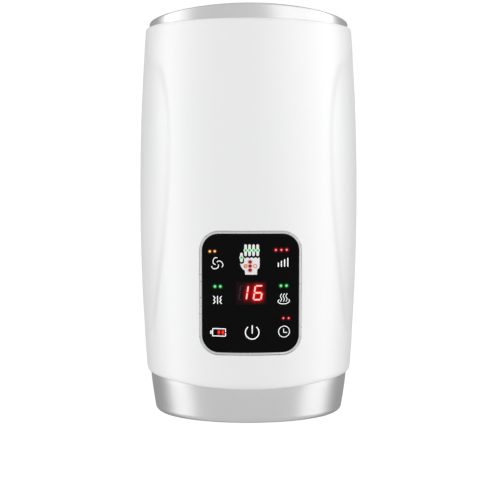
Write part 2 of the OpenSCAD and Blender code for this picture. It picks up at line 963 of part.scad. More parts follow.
module supply_tube() {
    color("gainsboro")
        difference() {
            y_bar(pump[0], pump[2], nipple_d + 2, pump[1] + motor_l + 23.6, manifold[1] - 0.1);
            y_bar(pump[0], pump[2], nipple_d + 0.1, pump[1] + motor_l + 20, manifold[1] + 1);
        }
}

module palm_tube() {
    y = manifold[1] + 4;
    z = manifold[2] - 2;
    color("gainsboro")
        hose([[26.1, y, z], [27.2, y, z], [29, y - 0.5, z], [31, y - 4, z + 1], [31, 40, z + 2], [31, 10, z + 4],
            [30, palm_port[1] + 6, z + 5], [palm_port[0], palm_port[1] + 0.6, z + 2.5],
            [palm_port[0], palm_port[1], z + 0.2], [palm_port[0], palm_port[1], roof_z + frame_t + 3.6]],
            4.6);
}

module finger_tube() {
    y = manifold[1] + 4;
    z = manifold[2] - 2;
    color("gainsboro")
        hose([[-26.1, y, z], [-27.2, y, z], [-29, y - 0.5, z + 0.2], [-31, y - 4, z + 2], [-30.5, 50, z + 5],
            [finger_port[0], finger_port[1] + 0.8, z + 3],
            [finger_port[0], finger_port[1], z + 0.2],
            [finger_port[0], finger_port[1], roof_z + frame_t + 3.6]], 4.6);
}

// Power and electronics in the base

module battery_cells() {
    color("steelblue")
        for (x = [-9.5, 9.5])
            difference() {
                slab(18.4, 56, 3, cavity_z + 2.3, cavity_z + 11.3, -22, x);
                for (y = [-51, 7])
                    box([x - 12, x + 12], [y - 1.2, y + 1.2], [cavity_z + 8.6, cavity_z + 12]);
            }
}

module battery_tray() {
    color("dimgray")
        difference() {
            slab(39.2, 60, 4, cavity_z + 0.85, cavity_z + 6, -22);
            slab(37.8, 57, 3.5, cavity_z + 2.25, cavity_z + 20, -22);
            for (y = [-38, -22, -6])
                slab(24, 8, 3, 0, 20, y);
        }
}

module main_board() {
    color("darkgreen")
        difference() {
            slab(40, 50, 3, cavity_z + 3, cavity_z + 3 + board_t, 38);
            for (x = [-17, 17], y = [16, 60])
                z_bar(x, y, 3, 0, 30);
        }
}

module board_components() {
    z = cavity_z + 3 + board_t;
    color("black") {
        box([-6, 6], [30, 42], [z, z + 1.6]);
        box([8, 14], [46, 52], [z, z + 3]);
        box([-15, -6], [20, 26], [z, z + 5.5]);
        z_bar(-12, 50, 6.3, z, z + 8);
        z_bar(-4, 53, 5, z, z + 7);
        box([6, 14], [20, 25], [z, z + 5.5]);
        for (y = [34, 38])
            box([-15, -10], [y - 1, y + 1], [z, z + 1.2]);
    }
}

module wiring_loom() {
    color("tomato") {
        hose([[14.1, 22.5, 14], [15.5, 22.5, 14], [18, 22.5, 14], [25, 22.5, 15.2], [34, 22, 16], [43, 22, 22.6], [49.6, 20, 32],
            [52.3, 14, 44], [52, 4, 58], [46.5, -6, 72], [38, -14, 81], [31, -22, 86],
            [23, -26, display_z + 0.3]], 2.6);
        hose([[-4, 6.2, 14], [-4, 7.2, 14], [-4, 9, 14], [-8, 14, 14.2], [-10.5, 17.5, 14],
            [-10.5, 18.8, 14], [-10.5, 19.8, 14]], 2.4);
    }
}

module charging_socket() {
    color("silver")
        difference() {
            translate([0, 106.6, socket_z])
                rotate([90, 0, 0])
                    linear_extrude(height = 7.3)
                        rounded_outline(8.94, 3.26, 1.6);
            translate([0, 107.6, socket_z])
                rotate([90, 0, 0])
                    linear_extrude(height = 7.3)
                        rounded_outline(8.34, 2.56, 1.25);
            box([-10, 10], [97.6, 100.6], [socket_z - 5, socket_z - 1.7]);
        }
    color("black")
        box([-3.3, 3.3], [99.4, 105.1], [socket_z - 0.35, socket_z + 0.35]);
}

module socket_board() {
    color("darkgreen")
        slab(20, 13, 2, socket_z - 3.25, socket_z - 1.65, 95);
}

upper_shell();
lower_shell();
mouth_ring();
rear_cap();
panel_bezel();
touch_panel();
light_box();
display_board();
digit_display();
indicator_lamps();
rubber_feet();
front_plate();
rear_bulkhead();
end_screws();
upper_frame();
lower_frame();
frame_screws();
mouth_collar();
chamber_lining();
palm_airbag();
palm_press_plate();
palm_cushion();
finger_airbag();
finger_press_plate();
finger_cushion();
massage_plate();
heating_film();
floor_pad();
vibration_motor();
vibration_weight();
vibration_clip();
pump_motor();
pump_crank();
pump_housing();
pump_diaphragm();
pump_head();
pump_cradle();
air_manifold();
palm_valve_body();
palm_valve_plunger();
palm_valve_spring();
finger_valve_body();
finger_valve_plunger();
finger_valve_spring();
supply_tube();
palm_tube();
finger_tube();
battery_cells();
battery_tray();
main_board();
board_components();
wiring_loom();
charging_socket();
socket_board();
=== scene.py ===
# %% [markdown]
# # A cordless hand massager, dressed piece by piece
# The construction model already holds every part at its true size. This lesson gives
# the parts that a hand or an eye meets their finished form, material and light.
# Start by loading the model as a fixed frame.

# %% Load the frame
import math

import bmesh
import bpy
import numpy as np
from mathutils import Matrix, Vector
from mathutils.geometry import delaunay_2d_cdt


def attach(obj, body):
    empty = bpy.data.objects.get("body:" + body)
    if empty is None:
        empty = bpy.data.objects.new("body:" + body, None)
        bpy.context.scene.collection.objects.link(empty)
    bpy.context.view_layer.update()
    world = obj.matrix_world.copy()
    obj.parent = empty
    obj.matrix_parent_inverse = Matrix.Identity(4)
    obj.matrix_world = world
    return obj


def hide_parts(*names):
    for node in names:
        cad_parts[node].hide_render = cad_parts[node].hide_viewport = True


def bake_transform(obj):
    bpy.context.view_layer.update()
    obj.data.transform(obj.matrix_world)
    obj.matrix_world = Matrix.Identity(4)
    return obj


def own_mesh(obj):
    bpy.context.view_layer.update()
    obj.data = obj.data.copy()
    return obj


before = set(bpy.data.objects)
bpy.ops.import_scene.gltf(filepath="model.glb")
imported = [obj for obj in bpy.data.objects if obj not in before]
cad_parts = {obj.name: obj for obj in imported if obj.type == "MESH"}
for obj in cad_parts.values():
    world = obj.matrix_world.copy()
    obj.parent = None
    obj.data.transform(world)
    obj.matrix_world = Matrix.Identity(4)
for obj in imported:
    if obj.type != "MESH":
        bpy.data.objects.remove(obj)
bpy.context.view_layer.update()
MM, FULL_TURN = 0.001, 2 * math.pi
scene = bpy.context.scene
scene.view_settings.view_transform = "Standard"

# %% [markdown]
# The camera comes first, because everything is judged through it. The massager is seen
# from straight above with a long lens, so the barrel's sides hardly spread. Its axes are
# built by hand: a camera that looks straight down has no natural "up", so up is +Y here.

# %% Camera above the barrel
eye = Vector((-0.014, 0.0065, 0.700))
aim = Vector((0.00078, -0.0197, 0.050))
back = (eye - aim).normalized()
right = Vector((0, 1, 0)).cross(back).normalized()
camera = bpy.data.objects.new("camera", bpy.data.cameras.new("camera"))
camera.matrix_world = (Matrix.Translation(eye)
                       @ Matrix((right, back.cross(right), back)).transposed().to_4x4())
camera.data.sensor_width, camera.data.lens = 36, 84.08
scene.collection.objects.link(camera)
scene.camera = camera
print("camera at", tuple(round(v, 4) for v in eye))

# %% [markdown]
# ## Lengths of the barrel
# Both shells lie on one rule: two half-ovals on a level axis, with the half-width bowed
# slightly along the length. The same few numbers also place the panel on the curve.

# %% The barrel's rule
HALF, TOP, LOW, AXIS, BASE = 0.060, 0.052, 0.050, 0.050, 0.003
BOW, WIDEST, LEAN = 1 / 2.4, 0.006, 0.047
SHELL = (-0.0901, 0.0972)


def barrel_r(y):
    """Half-width of the barrel at a place along its length."""
    return HALF - BOW * (y - WIDEST) ** 2


print("half-width at the mouth seam", round(barrel_r(SHELL[0]) / MM, 2), "mm")

# %% [markdown]
# ## Mesh helpers
# A sheet is a net of points in two measures, such as angle and length. A net is easy to
# give a wall: copy it inwards, turn the copy round and stitch the open edges. A hole keeps
# its clean outline when the net is bridged to it in rings, which a cut through the
# finished mesh would not give.

# %% Nets, walls and plain meshes
def mesh_object(name, points, faces=(), edges=()):
    """A new object whose place is in its mesh."""
    data = bpy.data.meshes.new(name)
    data.from_pydata([tuple(map(float, p)) for p in points], edges, [list(f) for f in faces])
    data.update()
    obj = bpy.data.objects.new(name, data)
    scene.collection.objects.link(obj)
    return obj


def carry(obj, name, values):
    """Writes one number per point, for a recipe or a finish to read."""
    data = obj.data.attributes.new(name, "FLOAT", "POINT").data
    data.foreach_set("value", np.asarray(values, np.float32))
    return obj


def net(n, m, round_n=False, round_m=False, flip=False):
    """Faces between n rows of m points; rows or points may close on themselves."""
    faces = []
    for i in range(n if round_n else n - 1):
        for j in range(m if round_m else m - 1):
            k, q = (i + 1) % n * m, (j + 1) % m
            face = [i * m + j, k + j, k + q, i * m + q]
            faces.append(face[:1] + face[:0:-1] if flip else face)
    return faces


def compact(points, faces):
    """Only the points that faces use, and the faces numbered to match."""
    used = sorted({k for f in faces for k in f})
    place = {k: i for i, k in enumerate(used)}
    return np.array([points[k] for k in used]), [[place[k] for k in f] for f in faces]


def grid(us, vs, loop=False, block=None, outline=None, rings=4):
    """Points (u, v) and faces; block is the cells (i0, i1, j0, j1) that a hole takes out,
    and outline gives the hole's edge for each point on the block's border."""
    n, m = len(us), len(vs)
    points = [(u, v) for u in us for v in vs]
    faces = net(n, m, loop)
    if not block:
        return compact(points, faces)
    i0, i1, j0, j1 = block
    faces = [f for f in faces if not (i0 <= f[0] // m < i1 and j0 <= f[0] % m < j1)]
    walk = ([(i, j0) for i in range(i0, i1)] + [(i1, j) for j in range(j0, j1)]
            + [(i, j1) for i in range(i1, i0, -1)] + [(i0, j) for j in range(j1, j0, -1)])
    edge, around = [i * m + j for i, j in walk], len(walk)
    border = [points[k] for k in edge]
    ends = [outline(b) for b in border]
    for step in range(1, rings + 1):
        t = 1 - (1 - step / rings) ** 1.6
        ring = [len(points) + k for k in range(around)]
        points += [(b[0] + t * (e[0] - b[0]), b[1] + t * (e[1] - b[1]))
                   for b, e in zip(border, ends)]
        faces += [[edge[k], edge[(k + 1) % around], ring[(k + 1) % around], ring[k]]
                  for k in range(around)]
        edge = ring
    return compact(points, faces)


def walled(outer, inner, faces):
    """A closed wall between two copies of one sheet."""
    n = len(outer)
    sides = {side: True for f in faces for side in zip(f, f[1:] + f[:1])}
    rim = [[b, a, a + n, b + n] for a, b in sides if (b, a) not in sides]
    return (np.vstack([outer, inner]),
            faces + [[k + n for k in reversed(f)] for f in faces] + rim)


def skin(name, rings, closed=False, cap=False):
    """Faces between rings of equal length; cap closes the last one on its middle."""
    n, last = len(rings[0]), len(rings[0]) * (len(rings) - 1)
    points = list(np.vstack(rings))
    faces = net(len(rings), n, closed, True, flip=True)
    if cap:
        faces += [[last + k, last + (k + 1) % n, len(points)] for k in range(n)]
        points.append(np.mean(rings[-1], 0))
    return mesh_object(name, points, faces)


def face_outwards(obj, fill=False):
    """Turns a closed mesh's faces outwards, and fills its open ends first if asked to."""
    work = bmesh.new()
    work.from_mesh(obj.data)
    bmesh.ops.remove_doubles(work, verts=work.verts, dist=1e-6)
    if fill:
        bmesh.ops.holes_fill(work, edges=work.edges, sides=0)
    bmesh.ops.recalc_face_normals(work, faces=work.faces)
    work.to_mesh(obj.data)
    work.free()
    return obj


def dress(obj, finish, sharp):
    """Gives a plain mesh its finish and smooth faces, crisp at edges past an angle."""
    obj.data.materials.clear()
    obj.data.materials.append(finish.material)
    obj.data.polygons.foreach_set("use_smooth", [True] * len(obj.data.polygons))
    obj.data.set_sharp_from_angle(angle=math.radians(sharp))
    return obj


def settled(obj):
    """Leaves the result of the object's modifiers as its plain mesh."""
    bpy.context.view_layer.update()
    graph = bpy.context.evaluated_depsgraph_get()
    made = bpy.data.meshes.new_from_object(obj.evaluated_get(graph))
    obj.modifiers.clear()
    obj.data = made
    made.name = obj.name
    return obj


print("mesh helpers ready")

# %% Rounded outlines
def rounded_ring(w, l, r, sides=(16, 20), corner=10):
    """Points of a rounded rectangle, counter-clockwise from its right-hand side."""
    r = max(r, 1e-6)
    centres = [(w / 2 - r, l / 2 - r), (r - w / 2, l / 2 - r),
               (r - w / 2, r - l / 2), (w / 2 - r, r - l / 2)]
    ring = []
    for k, (cx, cy) in enumerate(centres):
        arc = [(cx + r * math.cos(a), cy + r * math.sin(a))
               for a in np.radians(np.linspace(90 * k, 90 * k + 90, corner + 1))]
        nx, ny = centres[(k + 1) % 4]
        end = math.radians(90 * k + 90)
        start = (nx + r * math.cos(end), ny + r * math.sin(end))
        run = np.linspace(arc[-1], start, sides[k % 2] + 1)[1:-1]
        ring += arc + [tuple(p) for p in run]
    return np.array(ring)


def rings_of(w, l, r, y, steps):
    """Rounded outlines round one middle; each step is an inset and a height."""
    rings = [(rounded_ring(w - 2 * o, l - 2 * o, r - o) + (0, y), z) for o, z in steps]
    return [np.column_stack([ring, np.full(len(ring), z)]) for ring, z in rings]


def box_outline(p, w, l, r):
    """The point of a rounded rectangle that lies in the same direction as p."""
    low, high = 0.0, 4.0
    for _ in range(40):
        t = (low + high) / 2
        qx, qy = abs(p[0] * t) - w / 2 + r, abs(p[1] * t) - l / 2 + r
        gap = math.hypot(max(qx, 0), max(qy, 0)) + min(max(qx, qy), 0) - r
        low, high = (t, high) if gap < 0 else (low, t)
    return p[0] * t, p[1] * t


print("outline helpers ready")

# %% [markdown]
# ## Geometry Nodes, written as sums
# A node tree that computes a shape is hard to read as a list of links. Here a small class
# stands for one value in the tree, and adding or multiplying two of them adds the Math
# node, so that the tree is written the way the formula is.

# %% A value in a node tree
def add_node(tree, kind, inputs=None, **settings):
    """A new node; each input is a plain value, a Value or another node's output."""
    made = tree.nodes.new(kind)
    for key, value in settings.items():
        setattr(made, key, value)
    for key, value in (inputs or {}).items():
        value = getattr(value, "socket", value)
        if isinstance(value, bpy.types.NodeSocket):
            tree.links.new(value, made.inputs[key])
        else:
            made.inputs[key].default_value = value
    return made


class Value:
    """One output in a node tree; sums and products of values add Math nodes."""

    def __init__(self, tree, socket):
        self.tree, self.socket = tree, socket

    def math(self, operation, *others):
        made = add_node(self.tree, "ShaderNodeMath", dict(enumerate((self, *others))),
                        operation=operation)
        return Value(self.tree, made.outputs[0])

    def __add__(self, other):
        return self.math("ADD", other)

    def __sub__(self, other):
        return self.math("SUBTRACT", other)

    def __mul__(self, other):
        return self.math("MULTIPLY", other)


class Recipe:
    """A Geometry Nodes tree with named sizes."""

    def __init__(self, name, **sizes):
        self.tree, self.sizes = bpy.data.node_groups.new(name, "GeometryNodeTree"), sizes
        for label, way, kind in (("Geometry", "INPUT", "Geometry"),
                                 *((label, "INPUT", "Float") for label in sizes),
                                 ("Finish", "INPUT", "Material"),
                                 ("Geometry", "OUTPUT", "Geometry")):
            self.tree.interface.new_socket(label, in_out=way, socket_type="NodeSocket" + kind)
        self.start = self.node("NodeGroupInput")

    def node(self, kind, inputs=None, **settings):
        return add_node(self.tree, kind, inputs, **settings)

    def given(self, label):
        return Value(self.tree, self.start.outputs[label])

    def place(self):
        """The three coordinates of each point."""
        where = self.node("GeometryNodeInputPosition").outputs[0]
        return [Value(self.tree, s) for s in self.node("ShaderNodeSeparateXYZ", {0: where}).outputs]

    def move_to(self, geometry, *place):
        """Sets every point's place to the three values."""
        join = self.node("ShaderNodeCombineXYZ", dict(enumerate(place)))
        return self.node("GeometryNodeSetPosition", {"Geometry": geometry,
                                                     "Position": join.outputs[0]}).outputs[0]

    def swept(self, curve, radius, resolution=10):
        """A closed tube along a curve."""
        ring = self.node("GeometryNodeCurvePrimitiveCircle", {"Resolution": resolution,
                                                              "Radius": radius})
        return self.node("GeometryNodeCurveToMesh", {
            "Curve": curve, "Profile Curve": ring.outputs["Curve"], "Fill Caps": True}).outputs[0]

    def close(self, geometry):
        """Ends the tree: real geometry, smooth faces and the finish."""
        real = self.node("GeometryNodeRealizeInstances", {0: geometry})
        smooth = self.node("GeometryNodeSetShadeSmooth", {0: real.outputs[0]})
        paint = self.node("GeometryNodeSetMaterial", {"Geometry": smooth.outputs[0],
                                                      "Material": self.given("Finish")})
        self.node("NodeGroupOutput", {0: paint.outputs[0]})
        print(self.tree.name, "has", len(self.tree.nodes), "nodes")

    def run(self, obj, finish, sharp=35, **sizes):
        """Runs the tree on obj and leaves its result as a plain mesh."""
        modifier = obj.modifiers.new("recipe", "NODES")
        modifier.node_group = self.tree
        values = {**self.sizes, **sizes}
        for item in self.tree.interface.items_tree:
            if item.in_out == "INPUT" and item.name in values:
                modifier[item.identifier] = float(values[item.name])
            if item.in_out == "INPUT" and item.name == "Finish":
                modifier[item.identifier] = finish.material
        settled(obj)
        if sharp:
            obj.data.set_sharp_from_angle(angle=math.radians(sharp))
        return obj


print("recipes ready")

# %% [markdown]
# ## Materials
# Nearly every part here is moulded plastic, rubber, glass or metal. What tells them apart
# is how sharp their gloss is, how it varies, and the fine grain of the surface. One class
# gives a finish its colour mottling, uneven gloss and grain from noise on the object's own
# coordinates; the special finishes add their patterns to it.

# %% A finish from noise
def tone(value, warmth=0.0):
    """A grey, a little warm or cool; a colour passes through as it is."""
    if isinstance(value, tuple):
        return value
    return value * (1 + warmth), value, value * (1 - warmth)


class Finish:
    """A procedural material around one Principled shader; greys may be plain numbers."""

    def __init__(self, name, colour, rough, metallic=0.0):
        self.material = bpy.data.materials.new(name)
        self.material.use_nodes = True
        self.material.diffuse_color = (*tone(colour), 1)
        self.tree = self.material.node_tree
        self.shader = self.tree.nodes["Principled BSDF"]
        self.coords = self.node("ShaderNodeTexCoord").outputs["Object"]
        self.fixed(Base_Color=(*tone(colour), 1), Roughness=rough, Metallic=metallic)

    def node(self, kind, inputs=None, **settings):
        return add_node(self.tree, kind, inputs, **settings)

    def noise(self, scale, detail=3, stretch=(1, 1, 1)):
        """Noise with features of about 1/scale metres."""
        place = self.node("ShaderNodeMapping", {"Vector": self.coords, "Scale": stretch})
        return self.node("ShaderNodeTexNoise", {"Vector": place.outputs[0], "Scale": scale,
                                                "Detail": detail}).outputs[0]

    def spread(self, value, low, high, start=0.3, end=0.7):
        """Maps a value from start..end to low..high."""
        return self.node("ShaderNodeMapRange", {"Value": value, "From Min": start,
                         "From Max": end, "To Min": low, "To Max": high}).outputs[0]

    def ramp(self, value, *stops):
        """A colour ramp; each stop is (place, colour)."""
        made = self.node("ShaderNodeValToRGB", {"Fac": value})
        for k, (at, colour) in enumerate(stops):
            stop = made.color_ramp.elements[k] if k < 2 else made.color_ramp.elements.new(at)
            stop.position, stop.color = at, (*tone(colour), 1)
        return made.outputs[0]

    def feed(self, socket, value):
        self.tree.links.new(getattr(value, "socket", value), self.shader.inputs[socket])
        return self

    def fixed(self, **values):
        """Values that are the same all over stay on the shader's own sockets."""
        for key, value in values.items():
            self.shader.inputs[key.replace("_", " ")].default_value = value
        return self

    def mottle(self, dark, light, scale, detail=3):
        """Colour that wanders between two tones."""
        return self.feed("Base Color", self.ramp(self.noise(scale, detail),
                                                 (0.3, dark), (0.7, light)))

    def gloss(self, low, high, scale):
        """Roughness that wanders between two values."""
        return self.feed("Roughness", self.spread(self.noise(scale, 4), low, high))

    def grain(self, height, strength=0.3, depth=0.0002):
        """Fine relief from a value, or from noise given by its scale, detail and stretch."""
        height = self.noise(*height) if isinstance(height, tuple) else height
        bump = self.node("ShaderNodeBump", {"Height": height, "Strength": strength,
                                            "Distance": depth})
        return self.feed("Normal", bump.outputs[0])


print("finish class ready")

# %% [markdown]
# The two finishes that make the object are the white gloss of the shells and the satin
# silver of its two ends. Injection-moulded gloss is never optically flat, so it gets a
# very shallow, centimetre-wide waviness. The silver is a sprayed metallic: its colour and
# gloss wander a little over millimetres, and part of its light is scattered.

# %% Shell white and trim silver
white = Finish("shell white gloss", 0.80, 0.3).gloss(0.40, 0.44, 14)
white.mottle(tone(0.795, -0.003), tone(0.805, 0.002), 14, 1).grain((30, 0), 0.05, 0.00005)
white.fixed(IOR=1.5, Specular_IOR_Level=0.75)
silver = Finish("trim silver satin", 0.585, 0.32, 0.75).mottle(0.578, 0.592, 900, 2)
silver.gloss(0.30, 0.34, 300).fixed(Specular_IOR_Level=0.0)
edge_silver = Finish("panel frame silver", 0.59, 0.30, 0.6).mottle(0.57, 0.61, 1800, 2)
edge_silver.gloss(0.26, 0.34, 500)
print("outer finishes:", white.material.name, "|", silver.material.name)

# %% [markdown]
# ## Wrapping a sheet on the barrel
# The shells, the mouth ring and the rear cap all follow the barrel's rule, so one
# Geometry Nodes recipe bends them. A flat layout mesh holds an angle in X, a length in
# metres in Y and a height above the rule in Z. The recipe turns those three into a place
# on the barrel, flattens the underside with a smooth maximum and leans the front seam.
# Sculpting the barrel directly would be quicker once, but every edge, recess and wall
# would have to be found again whenever a size changed.

# %% The barrel recipe
RULE = {"Half width": HALF, "Bow": BOW, "Widest at": WIDEST, "Axis height": AXIS,
        "Upper rise": TOP / HALF, "Lean": LEAN}
wrap = Recipe("wrap on the barrel", **RULE, **{"Lower rise": LOW / HALF, "Underside": BASE,
                                               "Corner": 0.0012})
angle, length, height = wrap.place()
offset = length - wrap.given("Widest at")
radius = wrap.given("Half width") - offset * offset * wrap.given("Bow") + height
upward, low_rise, axis = angle.math("COSINE"), wrap.given("Lower rise"), wrap.given("Axis height")
rise = (wrap.given("Upper rise") - low_rise) * upward.math("GREATER_THAN", 0.0) + low_rise
level = (axis + radius * upward * rise).math("SMOOTH_MAX", wrap.given("Underside") - height,
                                             wrap.given("Corner"))
share = wrap.node("GeometryNodeInputNamedAttribute", {"Name": "lean"}, data_type="FLOAT")
leaning = (level - axis) * wrap.given("Lean") * Value(wrap.tree, share.outputs[0])
bent = wrap.move_to(wrap.given("Geometry"), radius * angle.math("SINE"), length - leaning, level)
wrap.close(wrap.node("GeometryNodeMergeByDistance", {"Geometry": bent,
                                                     "Distance": 0.000005}).outputs[0])

# %% [markdown]
# ## The two white shells
# Each shell is a net in angle and length. Its height above the rule is a sum of small
# falls: the rounded lips at both ends, a hairline round at the parting, and on the upper
# shell the leaf-shaped recess along each side. The recess is found from the signed
# distance to its outline, so it has a soft crest, a sloping band and a quiet floor.

# %% Falls at the lips and the parting
LIPS = ((SHELL[0], 1, 0.0014, 0.005), (SHELL[1], -1, 0.0007, 0.003))   # edge, way, drop, run
SEAM_UP, SEAM_DOWN = 1.98, -0.64


def seam_share(theta, y):
    """Share of the lean: the front edge arcs forward over the top, the rear one is square."""
    up = np.cos(theta)
    return (np.where(up > 0, SEAM_UP, SEAM_DOWN) * up
            * np.clip((SHELL[1] - y) / (SHELL[1] - SHELL[0]), 0, 1))


def lip_fall(y):
    """How far the shell's surface drops below the rule near its two ends."""
    fall = np.zeros_like(y)
    for edge, way, drop, run in LIPS:
        part = np.clip((y - edge) * way / run, 0, 1)
        start = barrel_r(edge + way * run) - drop * (1 - np.sqrt(1 - (1 - part) ** 2))
        fall = np.where(part < 1, barrel_r(y) - start, fall)
    return fall


def parting_fall(theta, radius=0.00045):
    """A hairline round where the two shells meet."""
    gap = np.clip(np.abs(np.abs(theta) - math.pi / 2) * HALF, 0, radius)
    return radius - np.sqrt(radius ** 2 - (radius - gap) ** 2)


front_lip, rear_lip = ([edge + way * run * (1 - math.sin(math.radians(t)))
                        for t in range(90, -1, -15)] for edge, way, _, run in LIPS)
lengths = np.concatenate([front_lip, np.linspace(-0.0834, 0.0927, 146), rear_lip[::-1]])
print(len(lengths), "stations along the shell")

# %% The leaf-shaped recess
LEAF_Y, LEAF_Z, LEAF_RUN, LEAF_RISE = 0.031, 0.025, 0.047, 0.0126      # its rear quarter-oval
LEAF_SIDE = 0.056                                                       # metres per radian


def leaf_rise(y):
    """Height of the crest above the barrel's axis, forward of the rear quarter-oval."""
    return 0.024 + 0.0136 * (1 - ((LEAF_Y - y) / 0.0945) ** 2.15)


def round_the_side(y, rise):
    """Distance up the side from the parting, for a height above the axis."""
    return LEAF_SIDE * math.asin(min(1, rise / (barrel_r(y) * TOP / HALF)))


crest = ([(-0.075, -0.001)] + [(y, leaf_rise(y)) for y in np.linspace(-0.0635, LEAF_Y, 60)]
         + [(LEAF_Y + LEAF_RUN * math.cos(t), LEAF_Z + LEAF_RISE * math.sin(t))
            for t in np.linspace(math.pi / 2, 0, 26)[1:]] + [(0.088, -0.001)])
crest = np.array([(y, round_the_side(y, rise)) for y, rise in crest])


def leaf_fall(theta, y, depth=0.0008, band=0.0044, soft=0.0005, fade=0.020):
    """Depth of the recess at a place on the side; it fades out towards the parting."""
    p = np.stack([y, LEAF_SIDE * (math.pi / 2 - np.abs(theta))], -1)
    a, b = crest[:-1], crest[1:]
    d = b - a
    t = np.clip(((p[:, None] - a) * d).sum(-1) / (d * d).sum(-1), 0, 1)
    gap = np.linalg.norm(p[:, None] - a - t[..., None] * d, axis=-1).min(1)
    roof = np.interp(p[:, 0], crest[:, 0], crest[:, 1], left=-1, right=-1)
    gap = np.where(p[:, 1] < roof, gap, -gap)
    slope = (np.logaddexp(0, gap / soft) - np.logaddexp(0, (gap - band) / soft)) * soft / band
    quiet = np.clip(p[:, 1] / fade, 0, 1)
    return depth * slope * quiet * quiet * (3 - 2 * quiet)


print("leaf outline has", len(crest), "points")

# %% Upper shell
PANEL_Y, GLASS_W, GLASS_L, GLASS_R, FRAME_W = -0.0442, 0.0503, 0.0616, 0.0087, 0.0016
SEAT = 0.0029                            # how much wider than the glass the opening is
LEAN_BACK = 0.0025                       # how far the lean moves the opening's middle back
HOLE_Y, HOLE_L, HOLE_TURN = PANEL_Y + LEAN_BACK, 0.067, 0.50
WALL = 0.0026


def panel_hole(point):
    """The panel opening's edge, in the direction of a grid point."""
    theta, y = point
    x, dy = box_outline((barrel_r(y) * math.sin(theta), y - HOLE_Y), GLASS_W + SEAT,
                        GLASS_L + SEAT, GLASS_R + SEAT - 0.0015)
    y = PANEL_Y + dy
    theta = math.asin(x / barrel_r(y))
    rise = barrel_r(y) * math.cos(theta) * TOP / HALF
    return theta, y + LEAN * rise * float(seam_share(theta, y + LEAN_BACK))


def cells_within(values, low, high):
    """The cells of a net that cover low..high."""
    return int(np.searchsorted(values, low)) - 1, int(np.searchsorted(values, high))


def shell(name, angles, block=None, recess=None):
    """Outer sheet with its falls, inner sheet one wall deeper, and the rims between."""
    flat, cells = grid(angles, lengths, block=block, outline=panel_hole)
    theta, y = flat.T
    fall = lip_fall(y) + parting_fall(np.minimum(theta, FULL_TURN - theta))
    if recess:
        fall += recess(theta, y)
    points, faces = walled(np.column_stack([flat, -fall]),
                           np.column_stack([flat, np.full(len(flat), -WALL)]), cells)
    obj = carry(mesh_object(name, points, faces), "lean", seam_share(points[:, 0], points[:, 1]))
    print(name, "is wrapped from", len(faces), "faces")
    return wrap.run(obj, white)


side = np.concatenate([np.linspace(0.60, 1.545, 54)[1:], [1.5555, 1.562, 1.5662, 1.5695]])
angles = np.concatenate([-side[::-1], np.linspace(-0.60, 0.60, 29), side])
hole = (*cells_within(angles, -HOLE_TURN, HOLE_TURN),
        *cells_within(lengths, HOLE_Y - HOLE_L / 2, HOLE_Y + HOLE_L / 2))
upper_shell = shell("shell_upper", angles, hole, leaf_fall)

# %% Lower shell
flank = np.concatenate([[1.5721, 1.5754, 1.5796, 1.586], np.linspace(1.60, 2.55, 30)])
under = np.linspace(2.55, FULL_TURN - 2.55, 64)[1:-1]
lower_shell = shell("shell_lower", np.concatenate([flank, under, FULL_TURN - flank[::-1]]))

# %% [markdown]
# ## Mouth ring and rear cap
# Both are revolved profiles on the same rule, with no bow of their own: the profile gives
# the radius outright. They step in under the shells along the seams, and the front seam's
# arc fades out towards the rim. The ring's profile is a closed loop of (length, radius),
# so its wall is whole without any further work. The cap is a short skirt, a tight edge and
# a shallow end; seen from above, the skirt's rim bows out over the top.

# %% Mouth ring
STRAIGHT = {"Half width": 0, "Bow": 0, "Underside": -1}
SEAM_GAP = 0.00005
RIM, RING_WALL, MOUTH, RING_Y = 0.004, 0.0018, -0.113, -0.092
RIM_DEPTH = 0.017                        # from the ring's front seam to its rim's bead


def band_r(depth):
    """The mouth ring's half-width, a distance forward of its seam."""
    return 0.0542 - 0.105 * depth - depth ** 2 / 0.5


def arc(cy, cr, radius, start, end, steps):
    """Profile points round a bead."""
    return [(cy - radius * math.sin(t), cr + radius * math.cos(t))
            for t in np.radians(np.linspace(start, end, steps))]


bead = (MOUTH + RIM, band_r(RIM_DEPTH) - RIM)
seam = SHELL[0] - SEAM_GAP
ring_profile = ([(-0.0840, 0.0532), (seam, 0.0532), (seam - 0.00002, 0.0539),
                 (seam - 0.0001, 0.0541)]
                + [(RING_Y - d, band_r(d)) for d in np.linspace(0.0002, RIM_DEPTH, 12)]
                + arc(*bead, RIM, 8, 120, 15) + arc(*bead, RIM - RING_WALL, 120, 20, 10)
                + [(RING_Y - d, band_r(d) - RING_WALL) for d in np.linspace(0.0165, 0, 6)]
                + [(-0.0840, 0.0514)])
turns = np.linspace(0, FULL_TURN, 168, endpoint=False)
mouth_ring = mesh_object("ring_mouth", [(a, y, r) for a in turns for y, r in ring_profile],
                         net(len(turns), len(ring_profile), True, True, flip=True))
carry(mouth_ring, "lean", [seam_share(a, SHELL[0]) * float(np.clip((y + 0.111) / RIM_DEPTH, 0, 1))
                           for a in turns for y, _ in ring_profile])
face_outwards(wrap.run(mouth_ring, silver, **STRAIGHT))
print("mouth ring:", len(mouth_ring.data.polygons), "faces")

# %% Rear cap with its charging recess
CAP_W, CAP_WALL, CAP_END, EDGE = 0.1092, 0.002, 0.1090, 0.0012
SOCKET_DROP = 0.022                      # the recess's middle, below the barrel's axis
SOCKET_W, SOCKET_H, SOCKET_R = 0.013, 0.007, 0.0034
back_seam = SHELL[1] + SEAM_GAP
SKIRT = [(0.0880, -0.001), (back_seam, -0.001), (back_seam + 0.00002, -0.0003),
         (back_seam + 0.0001, -0.00004)]


